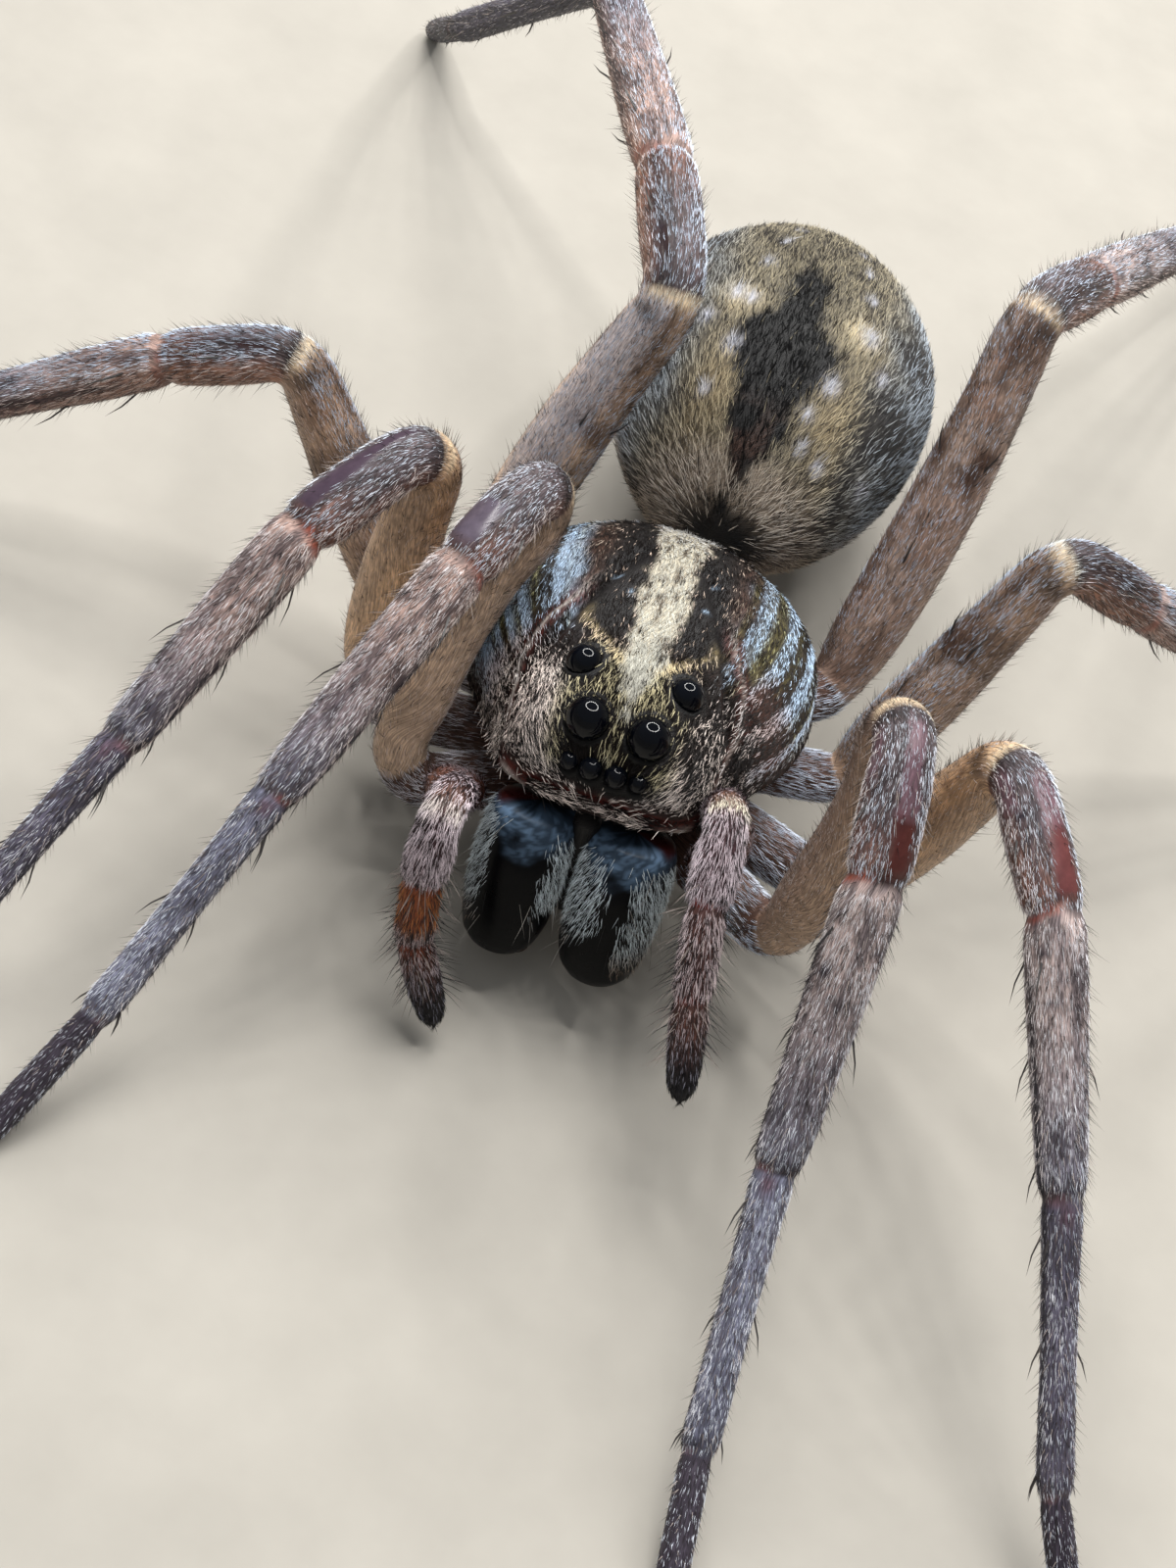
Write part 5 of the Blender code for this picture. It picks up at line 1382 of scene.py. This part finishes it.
rng = np.random.default_rng(300)
coat = Coat("coat_abdomen", shelves([abdomen] + small[2:]))
fur(coat, abdomen, 38500, rng, 0.019, 11.0, 14.0, curved=0.06)
for patch in small[2:]:
    fur(coat, patch, 250, rng, 0.017, 12.0)
coats.append((coat.make(), "abdomen"))

rng = np.random.default_rng(400)
coat = Coat("coat_palps", shelves(list(palps.values())))
for patch in palps.values():
    fur(coat, patch, 10500, rng, 0.016, 12.0, 9.0, curved=0.12)
    # long thin hairs that stand out from the sides
    f = patch.facts
    found = scatter(patch, int(230 * FEW) + 20, rng, step(1.6, 2.1, f["pos"]) * (0.15 + np.abs(f["pro"])) * step(3.8, 3.4, f["pos"]))
    n = len(found["P"])
    way = lay(found, rng, rng.uniform(38, 68, n), 14.0)
    tone = two_tones(rng, np.full(n, 0.35), rgb(0.50, 0.46, 0.44), BLACK_HAIR, 0.1)
    coat.curved(found["P"] - found["N"] * 0.01, way, found["N"], rng.uniform(0.28, 0.62, n), np.full(n, 0.015), tone, coat.place(patch, found["u"], found["v"]), found["D"] * 0.10)
coats.append((coat.make(), "leg"))

rng = np.random.default_rng(500)
coat = Coat("coat_underside", shelves([sternum] + small[:2]))
fur(coat, sternum, 7000, rng, 0.018, 12.0, 12.0)
for patch in small[:2]:
    fur(coat, patch, 900, rng, 0.017, 16.0)
coats.append((coat.make(), "underside"))


# ================================================================ jaws, fangs, eyes, claws
jaws = {word: jaw_patch(side, word) for side, word in ((1, "left"), (-1, "right"))}
jaw_objects = {}
for word, patch in jaws.items():
    t, angle = patch.facts["t"], patch.facts["angle"]
    out = np.cos(angle) * patch.facts["side"]  # 1 on the outer side, -1 towards the other jaw
    ahead = step(0.25, -0.15, np.sin(angle))
    ragged = noise(patch.P, 0.22, 61) - 0.5
    if word == "right":
        outer = step(0.50, 0.72, out + 0.25 * ragged) * step(0.03, 0.10, t) * step(0.78, 0.55, t)
        inner = step(-0.42, -0.66, out + 0.25 * ragged) * step(0.06, 0.14, t) * step(0.60, 0.42, t + 0.2 * ragged)
    else:
        outer = step(0.20, 0.38, out + 0.2 * ragged) * step(0.06, 0.14, t) * step(0.86, 0.62, t + 0.2 * ragged)
        inner = step(-0.12, -0.34, out + 0.2 * ragged) * step(0.06, 0.14, t) * step(0.68, 0.5, t + 0.2 * ragged)
    sides = np.maximum(outer, inner)
    density = sides * (0.35 + 0.65 * ahead) + 0.25 * step(0.1, 0.2, t) * step(0.95, 0.85, t) * (1 - ahead)
    low = step(0.5, 0.8, t)
    LOOKS[patch.name] = dict(
        pale=np.clip(0.78 - 0.35 * low, 0, 1),
        pale_tone=mix(flat(rgb(0.78, 0.83, 0.86), t), rgb(0.58, 0.50, 0.43), np.clip(low + 0.6 * (1 - ahead), 0, 1)),
        dark_tone=flat(BLACK_HAIR, t),
        density=density,
        length=0.27 - 0.05 * t,
        turn=-0.32 * np.sin(np.clip(out * 1.6, -1.5, 1.5)) * -1 * patch.facts["side"],
        rise=0.75 + 0 * t,
    )
    # painted reflection: a mottled bluish-grey sheen over the jaws' tops and fronts, painted into their colour
    mottle, grain = noise(patch.P, 0.30, 62), noise(patch.P, 0.055, 63)
    painted_sheen = step(0.0, 0.03, t) * step(0.23, 0.06, t + 0.22 * (mottle - 0.5)) * step(0.6, -0.5, np.sin(angle)) * (0.35 + 0.65 * step(0.38, 0.66, grain)) * (0.55 + 0.45 * step(0.35, 0.65, mottle))
    colour = mix(flat(rgb(0.012, 0.014, 0.022), t), rgb(0.37, 0.46, 0.56), painted_sheen)
    colour = mix(colour, rgb(0.19, 0.065, 0.06), step(0.74, 0.94, out) * step(0.08, 0.03, t))
    patch.facts["tone"] = colour
    points, faces, uv, columns = grid_mesh([patch], shelves([patch]), ("tone",))
    jaw_objects[word] = mesh_object(patch.name + "_shell", points, faces, columns, uv)

rng = np.random.default_rng(600)
coat = Coat("coat_jaws", shelves(list(jaws.values())))
for patch in jaws.values():
    fur(coat, patch, 3600, rng, 0.0125, 13.0, 9.0, curved=0.35)
    # a few long pale bristles
    found = scatter(patch, 16, rng, step(0.05, 0.15, patch.facts["t"]) * step(0.8, 0.6, patch.facts["t"]) * step(0.3, -0.3, np.sin(patch.facts["angle"])))
    n = len(found["P"])
    way = lay(found, rng, rng.uniform(22, 40, n), 25.0)
    coat.curved(found["P"], way, found["N"], rng.uniform(0.45, 0.8, n), np.full(n, 0.010), two_tones(rng, np.full(n, 0.6), rgb(0.52, 0.51, 0.49), BLACK_HAIR), coat.place(patch, found["u"], found["v"]), -found["N"] * 0.12)
coats.append((coat.make(), "jaw"))


def cone_line(points, half, normal, columns=20, cap=0.03):
    rows = np.column_stack([points, half, half, np.linspace(0, 1, len(points))])
    return tube("cone", rows, np.asarray(normal, float), 1, columns, lambda pos: 0 * pos, spacing=0.03, soften=0.03, cap=cap)


fang_objects = {}
for side, word in ((1, "left"), (-1, "right")):
    root = np.array([0.98, -3.66, -3.30])
    t = np.linspace(0, 1, 30)
    swing = math.radians(100) * t
    centre = root + np.stack([-0.62 * np.sin(swing), 0.42 * t, -0.20 * np.sin(swing * 1.2) + 0.05 * t], -1)
    centre = from_body(centre * np.array([side, 1, 1]))
    patch = cone_line(centre, 0.165 * (1 - 0.80 * t**1.2), AXES @ np.array([0, 0, 1.0]), 24)
    patch.name = f"fang_{word}"
    patch.facts["tone"] = mix(np.broadcast_to(rgb(0.06, 0.03, 0.03), patch.P.shape), rgb(0.30, 0.09, 0.05), step(0.3, 1.0, patch.facts["pos"]))
    # the knob it swings on, which goes up into the jaw's end
    above = from_body(np.array([0.92, -3.80, -2.85]) * np.array([side, 1, 1]))
    below = from_body(np.array([0.97, -3.68, -3.32]) * np.array([side, 1, 1]))
    s = np.linspace(0, 1, 12)
    knob = cone_line(above + (below - above) * s[:, None], 0.25 - 0.07 * s**2, across_body, 24)
    knob.name = f"fang_{word}_knob"
    knob.facts["tone"] = np.broadcast_to(rgb(0.055, 0.03, 0.03), knob.P.shape)
    points, faces, uv, columns = grid_mesh([patch, knob], shelves([patch, knob]), ("tone",))
    fang_objects[word] = mesh_object(patch.name + "_horn", points, faces, columns, uv)

eye_objects = {}
for name, centre, radius, side in eye_places():
    rows, cols = 40, 64
    look_out = unit(AXES @ np.array([0.55 * side if "lateral" in name else 0.25 * side, -1.0, 0.45 if "posterior" in name else 0.05]))
    a = unit(np.cross(look_out, [0, 0, 1.0]))
    b = np.cross(a, look_out)
    lat = np.linspace(0.02, math.pi - 0.02, rows)[:, None]
    lon = np.linspace(0, 2 * math.pi, cols + 1)[None, :]
    bulge = radius * (1.05 + 0.0 * lat)
    points = centre + (np.cos(lat) * bulge)[..., None] * look_out + (np.sin(lat) * np.cos(lon) * bulge)[..., None] * a + (np.sin(lat) * np.sin(lon) * bulge)[..., None] * b
    points[:, -1] = points[:, 0]
    patch = Patch(name, points, look_out)
    pts, faces, uv, _ = grid_mesh([patch], {name: (0, 0, 1, 1)})
    eye_objects[name] = mesh_object(name + "_lens", pts, faces, None, uv)

claw_parts = []
for name, patch in legs.items():
    f = patch.facts
    tip, way = f["line"][-2], f["tangent"][-2]
    flat = unit(np.array([way[0], way[1], 0.0]))
    side_way = np.cross([0, 0, 1.0], flat)
    for s in (-1, 1):
        t = np.linspace(0, 1, 12)[:, None]
        line = tip + side_way * s * (0.07 + 0.05 * t) - flat * 0.02 + flat * 0.17 * np.sin(t * 1.4) + np.array([0, 0, 1.0]) * (0.05 + 0.05 * np.sin(t * 3.0) - 0.10 * t**2)
        line[:, 2] = np.maximum(line[:, 2], 0.012)
        part = cone_line(line, 0.024 * (1 - 0.75 * t[:, 0]), side_way, 10, cap=0.01)
        part.name = f"claw_{name}_{s}"
        claw_parts.append(part)
points, faces, uv, _ = grid_mesh(claw_parts, shelves(claw_parts, 0.002))
claws = mesh_object("claws", points, faces, None, uv)

# stout black spines on shins and feet, in pairs below and singly on the sides
bristle = Coat("spines", {patch.name: (0.01, 0.01 + k * 0.12, 0.99, 0.12 + k * 0.12) for k, patch in enumerate(legs.values())})
rng = np.random.default_rng(700)
for name, patch in legs.items():
    f = patch.facts
    pos_line = f["pos"][:, 0]
    for where, angles, long in (
        (1.35, (90,), 0.7), (1.6, (60, 120), 0.7), (2.5, (20,), 0.6),
        (3.18, (-55, -125, 20), 0.85), (3.5, (-55, -125, 160), 0.85), (3.9, (-55, -125), 0.7),
        (4.12, (-50, -130, 10), 0.8), (4.5, (-50, -130, 170), 0.75), (4.93, (-45, -135, 0, 180), 0.5),
    ):
        i = int(np.argmin(np.abs(pos_line - where)))
        for degrees in angles:
            a = math.radians(degrees + rng.normal(0, 6))
            cols = f["pro"].shape[1] - 1
            j = int(round((a if f["side"] > 0 else math.pi - a) / (2 * math.pi) * cols)) % cols
            root, n, d = patch.P[i, j], patch.N[i, j], patch.D[i, j]
            if root[2] < 0.25 and long > 0.3:
                continue
            way = unit(d * 0.86 + n * 0.5)
            bristle.curved(root[None] - n[None] * 0.02, way[None], n[None], np.array([long]), np.array([0.05]), BLACK_HAIR[None], bristle.place(patch, np.array([i / len(pos_line)]), np.array([j / cols])), -n[None] * 0.16)
spines = bristle.make()
print("coat triangles", sum(len(o.data.polygons) for o, _ in coats), {o.name: len(o.data.polygons) for o, _ in coats})


# ================================================================ materials
def new_material(name):
    made = bpy.data.materials.new(name)
    made.use_nodes = True
    tree = made.node_tree
    shader = tree.nodes["Principled BSDF"]
    return made, tree, shader


def node(tree, kind, **inputs):
    made = tree.nodes.new(kind)
    for key, value in inputs.items():
        made.inputs[key.replace("_", " ")].default_value = value
    return made


def attribute(tree, name):
    made = tree.nodes.new("ShaderNodeAttribute")
    made.attribute_type = "GEOMETRY"
    made.attribute_name = name
    return made


def multiply(tree, a, b, share=1.0):
    made = tree.nodes.new("ShaderNodeMix")
    made.data_type = "RGBA"
    made.blend_type = "MULTIPLY"
    made.inputs[0].default_value = share
    tree.links.new(a, made.inputs[6])
    tree.links.new(b, made.inputs[7])
    return made.outputs[2]


def ramp(tree, value, stops):
    made = tree.nodes.new("ShaderNodeValToRGB")
    elements = made.color_ramp.elements
    while len(elements) < len(stops):
        elements.new(0.5)
    for element, (where, colour) in zip(elements, stops):
        element.position = where
        element.color = (*colour, 1.0) if len(colour) == 3 else colour
    tree.links.new(value, made.inputs["Fac"])
    return made.outputs["Color"]


def object_coordinates(tree):
    return tree.nodes.new("ShaderNodeTexCoord").outputs["Object"]


def stretched(tree, vector, scale):
    made = tree.nodes.new("ShaderNodeMapping")
    made.vector_type = "POINT"
    made.inputs["Scale"].default_value = scale
    tree.links.new(vector, made.inputs["Vector"])
    return made.outputs["Vector"]


def noise_node(tree, vector, scale, detail=3.0, roughness=0.55):
    made = tree.nodes.new("ShaderNodeTexNoise")
    made.inputs["Scale"].default_value = scale
    made.inputs["Detail"].default_value = detail
    made.inputs["Roughness"].default_value = roughness
    tree.links.new(vector, made.inputs["Vector"])
    return made.outputs["Fac"]


def one_minus(tree, value):
    made = tree.nodes.new("ShaderNodeMath")
    made.operation = "SUBTRACT"
    made.inputs[0].default_value = 1.0
    tree.links.new(value, made.inputs[1])
    return made.outputs[0]


def skin_material():
    made, tree, shader = new_material("skin")
    tone = attribute(tree, "tone").outputs["Color"]
    lie = attribute(tree, "lie").outputs["Vector"]
    gloss = attribute(tree, "gloss").outputs["Fac"]
    matt = one_minus(tree, gloss)
    # the short flat under-hair: long thin streaks along the lie
    streak = noise_node(tree, stretched(tree, lie, (4.0, 38.0, 1.0)), 1.0, 2.0, 0.6)
    grain = noise_node(tree, object_coordinates(tree), 6500.0, 3.0, 0.6)
    shade = ramp(tree, streak, [(0.32, (0.42, 0.40, 0.40)), (0.50, (0.95, 0.94, 0.93)), (0.68, (1.75, 1.72, 1.68))])
    shade2 = ramp(tree, grain, [(0.25, (0.80, 0.79, 0.79)), (0.75, (1.18, 1.17, 1.16))])
    hairy = tree.nodes.new("ShaderNodeMix")
    hairy.data_type = "RGBA"
    hairy.blend_type = "MULTIPLY"
    tree.links.new(matt, hairy.inputs[0])
    tree.links.new(tone, hairy.inputs[6])
    tree.links.new(shade, hairy.inputs[7])
    tree.links.new(multiply(tree, hairy.outputs[2], shade2), shader.inputs["Base Color"])
    rough = ramp(tree, grain, [(0.2, (0.44, 0.44, 0.44)), (0.8, (0.60, 0.60, 0.60))])
    blend = tree.nodes.new("ShaderNodeMix")
    blend.data_type = "FLOAT"
    blend.inputs[3].default_value = 0.20
    tree.links.new(gloss, blend.inputs[0])
    separate = tree.nodes.new("ShaderNodeRGBToBW")
    tree.links.new(rough, separate.inputs[0])
    tree.links.new(separate.outputs[0], blend.inputs[2])
    tree.links.new(blend.outputs[0], shader.inputs["Roughness"])
    bump_node = tree.nodes.new("ShaderNodeBump")
    bump_node.inputs["Distance"].default_value = 0.00002
    tree.links.new(matt, bump_node.inputs["Strength"])
    tree.links.new(streak, bump_node.inputs["Height"])
    tree.links.new(bump_node.outputs["Normal"], shader.inputs["Normal"])
    shader.inputs["Specular IOR Level"].default_value = 0.30
    return made


def coat_material(name, roughness, warmth):
    made, tree, shader = new_material(name)
    tone = attribute(tree, "tone").outputs["Color"]
    grain = noise_node(tree, object_coordinates(tree), 900.0, 2.0, 0.5)
    shade = ramp(tree, grain, [(0.25, (0.84, 0.83 * warmth, 0.82 * warmth)), (0.75, (1.14, 1.13, 1.12))])
    tree.links.new(multiply(tree, tone, shade), shader.inputs["Base Color"])
    rough = ramp(tree, grain, [(0.2, (roughness - 0.06,) * 3), (0.8, (roughness + 0.08,) * 3)])
    separate = tree.nodes.new("ShaderNodeRGBToBW")
    tree.links.new(rough, separate.inputs[0])
    tree.links.new(separate.outputs[0], shader.inputs["Roughness"])
    shader.inputs["Specular IOR Level"].default_value = 0.32
    return made


def horn_material(name, low, high, scale, rough_low, rough_high, bump_strength, use_tone=False, gleam=0.5):
    made, tree, shader = new_material(name)
    shader.inputs["Specular IOR Level"].default_value = gleam
    where = object_coordinates(tree)
    grain = noise_node(tree, where, scale, 4.0, 0.6)
    colour = ramp(tree, grain, [(0.3, low), (0.75, high)])
    if use_tone:
        colour = multiply(tree, attribute(tree, "tone").outputs["Color"], ramp(tree, grain, [(0.3, (0.75,) * 3), (0.75, (1.2,) * 3)]))
    tree.links.new(colour, shader.inputs["Base Color"])
    rough = ramp(tree, grain, [(0.25, (rough_low,) * 3), (0.8, (rough_high,) * 3)])
    separate = tree.nodes.new("ShaderNodeRGBToBW")
    tree.links.new(rough, separate.inputs[0])
    tree.links.new(separate.outputs[0], shader.inputs["Roughness"])
    bump_node = tree.nodes.new("ShaderNodeBump")
    bump_node.inputs["Strength"].default_value = bump_strength
    bump_node.inputs["Distance"].default_value = 0.00001
    tree.links.new(noise_node(tree, where, scale * 2.2, 2.0), bump_node.inputs["Height"])
    tree.links.new(bump_node.outputs["Normal"], shader.inputs["Normal"])
    return made


def dress(obj, finish, slot_name, *nodes):
    obj.data.materials.clear()
    obj.data.materials.append(finish)
    if nodes:
        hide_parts(*nodes)
    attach(obj, "root")


flesh = ["carapace", "sternum_and_coxae", "abdomen", "pedicel", "spinnerets"]
flesh += [f"leg_{name}_{part}" for name in STANCE for part in ("femur", "patella", "tibia", "foot")]
flesh += [f"palp_{word}_{part}" for word in ("left", "right") for part in ("femur", "lower")]
dress(skin, skin_material(), "leg", *flesh)

coat_finishes = {}
for obj, slot_name in coats:
    if slot_name not in coat_finishes:
        coat_finishes[slot_name] = coat_material("coat_" + slot_name, 0.50, 0.99)
    dress(obj, coat_finishes[slot_name], slot_name)
spine_finish = horn_material("spine", (0.010, 0.009, 0.010), (0.035, 0.028, 0.026), 2500.0, 0.28, 0.5, 0.1)
dress(spines, spine_finish, "jaw")
dress(claws, spine_finish, "fang")
jaw_finish = horn_material("jaw", (0.0016, 0.002, 0.0034), (0.005, 0.0065, 0.011), 2600.0, 0.22, 0.44, 0.35, True, 0.085)
fang_finish = horn_material("fang", (0.02, 0.008, 0.006), (0.06, 0.02, 0.012), 1500.0, 0.12, 0.3, 0.1, True)
eye_finish = horn_material("eye", (0.0008, 0.001, 0.0018), (0.002, 0.0028, 0.005), 900.0, 0.02, 0.04, 0.012, False, 0.20)
for word, obj in jaw_objects.items():
    dress(obj, jaw_finish, "jaw", f"chelicera_{word}")
for word, obj in fang_objects.items():
    dress(obj, fang_finish, "fang", f"fang_{word}")
for name, obj in eye_objects.items():
    dress(obj, eye_finish, "eye", name)


# ================================================================ floor, light, camera
def stage_floor():
    """A plain pale floor that sweeps up far away on every side."""
    rings = np.concatenate([[0.0], np.linspace(8.0, 500.0, 24), np.linspace(560.0, 2600.0, 36)])
    turns = 72
    angle = 2 * math.pi * np.arange(turns) / turns
    z = np.where(rings > 500, 1500.0 * (1 - np.cos(np.clip((rings - 500) / 2100.0, 0, 1) * math.pi / 2)), 0.0)
    points = np.stack([rings[:, None] * np.cos(angle), rings[:, None] * np.sin(angle), np.broadcast_to(z[:, None], (len(rings), turns))], -1)
    points = np.concatenate([[[0.0, 0.0, 0.0]], points[1:].reshape(-1, 3)])
    k = np.arange(turns)
    faces = [np.stack([np.zeros(turns, int), 1 + k, 1 + (k + 1) % turns, np.full(turns, -1)], -1)]
    for i in range(len(rings) - 2):
        a, b = 1 + i * turns, 1 + (i + 1) * turns
        faces.append(np.stack([a + k, b + k, b + (k + 1) % turns, a + (k + 1) % turns], -1))
    obj = mesh_object("floor", points, np.concatenate(faces))
    made, tree, shader = new_material("floor")
    grain = noise_node(tree, object_coordinates(tree), 350.0, 4.0, 0.6)
    colour = ramp(tree, grain, [(0.3, (0.305, 0.288, 0.256)), (0.7, (0.342, 0.323, 0.288))])
    tree.links.new(colour, shader.inputs["Base Color"])
    shader.inputs["Roughness"].default_value = 0.85
    obj.data.materials.append(made)


def soft_light(name, place, aim, size, power, colour, mirrored=True):
    data = bpy.data.lights.new(name, "AREA")
    data.shape = "DISK"
    data.size = size * MM
    data.energy = power
    data.color = colour
    obj = bpy.data.objects.new(name, data)
    COLLECTION.objects.link(obj)
    obj.visible_glossy = mirrored
    place, aim = np.array(place, float), np.array(aim, float)
    back = unit(place - aim)
    right = unit(np.cross([0, 0, 1.0], back)) if abs(back[2]) < 0.999 else np.array([1.0, 0, 0])
    up = np.cross(back, right)
    obj.matrix_world = Matrix([[*(right[i], up[i], back[i]), place[i] * MM] for i in range(3)] + [[0, 0, 0, 1]])


def soft_sun(name, way, strength, spread, colour):
    """Broad even light from far off, which no gloss shows."""
    data = bpy.data.lights.new(name, "SUN")
    data.energy, data.angle, data.color = strength, math.radians(spread), colour
    obj = bpy.data.objects.new(name, data)
    COLLECTION.objects.link(obj)
    obj.visible_glossy = False
    back = unit(np.array(way, float))
    right = unit(np.cross([0, 0, 1.0], back))
    up = np.cross(back, right)
    obj.matrix_world = Matrix([[*(right[i], up[i], back[i]), back[i] * 0.3] for i in range(3)] + [[0, 0, 0, 1]])


stage_floor()
# a ring lamp above and behind, which the eyes show as a small ring, and broad soft light from three sides
aim = np.array([0.0, -6.0, 4.0])
lamp = unit(np.array([-0.02, 0.48, 0.875]))
lamp_side = unit(np.cross([0, 0, 1.0], lamp))
lamp_up = np.cross(lamp, lamp_side)
for k in range(24):
    a = 2 * math.pi * k / 24
    soft_light(f"ring_{k}", aim + lamp * 110 + (lamp_side * math.cos(a) + lamp_up * math.sin(a)) * 52, aim, 7, 0.0110, (1.0, 0.985, 0.96))
soft_sun("key", (-0.10, 0.42, 0.90), 1.86, 22, (1.0, 0.985, 0.96))
soft_sun("front", (-0.45, -0.55, 0.70), 0.92, 70, (0.96, 0.98, 1.0))
soft_sun("side", (0.80, 0.10, 0.60), 0.22, 60, (0.93, 0.96, 1.0))
world = bpy.data.worlds.new("studio")
bpy.context.scene.world = world
world.use_nodes = True
world.node_tree.nodes["Background"].inputs["Color"].default_value = (0.82, 0.85, 0.90, 1.0)
world.node_tree.nodes["Background"].inputs["Strength"].default_value = 0.31
bpy.context.scene.view_settings.view_transform = "Standard"

az, el, roll = (math.radians(a) for a in (CAM_AZIMUTH, CAM_ELEVATION, CAM_ROLL))
back = np.array([math.sin(az) * math.cos(el), -math.cos(az) * math.cos(el), math.sin(el)])
right = np.array([math.cos(az), math.sin(az), 0.0])
up = np.cross(back, right)
right, up = right * math.cos(roll) + up * math.sin(roll), -right * math.sin(roll) + up * math.cos(roll)
place = np.array([CAM_TARGET[0] + CENTRE[0], CAM_TARGET[1] + CENTRE[1], CAM_TARGET[2]]) + back * CAM_DISTANCE
lens = bpy.data.cameras.new("camera")
lens.lens = CAM_LENS
lens.sensor_width = 36.0
lens.clip_start, lens.clip_end = 0.001, 10.0
camera = bpy.data.objects.new("camera", lens)
COLLECTION.objects.link(camera)
camera.matrix_world = Matrix([[right[i], up[i], back[i], place[i] * MM] for i in range(3)] + [[0, 0, 0, 1]])
bpy.context.scene.camera = camera

bpy.context.view_layer.update()
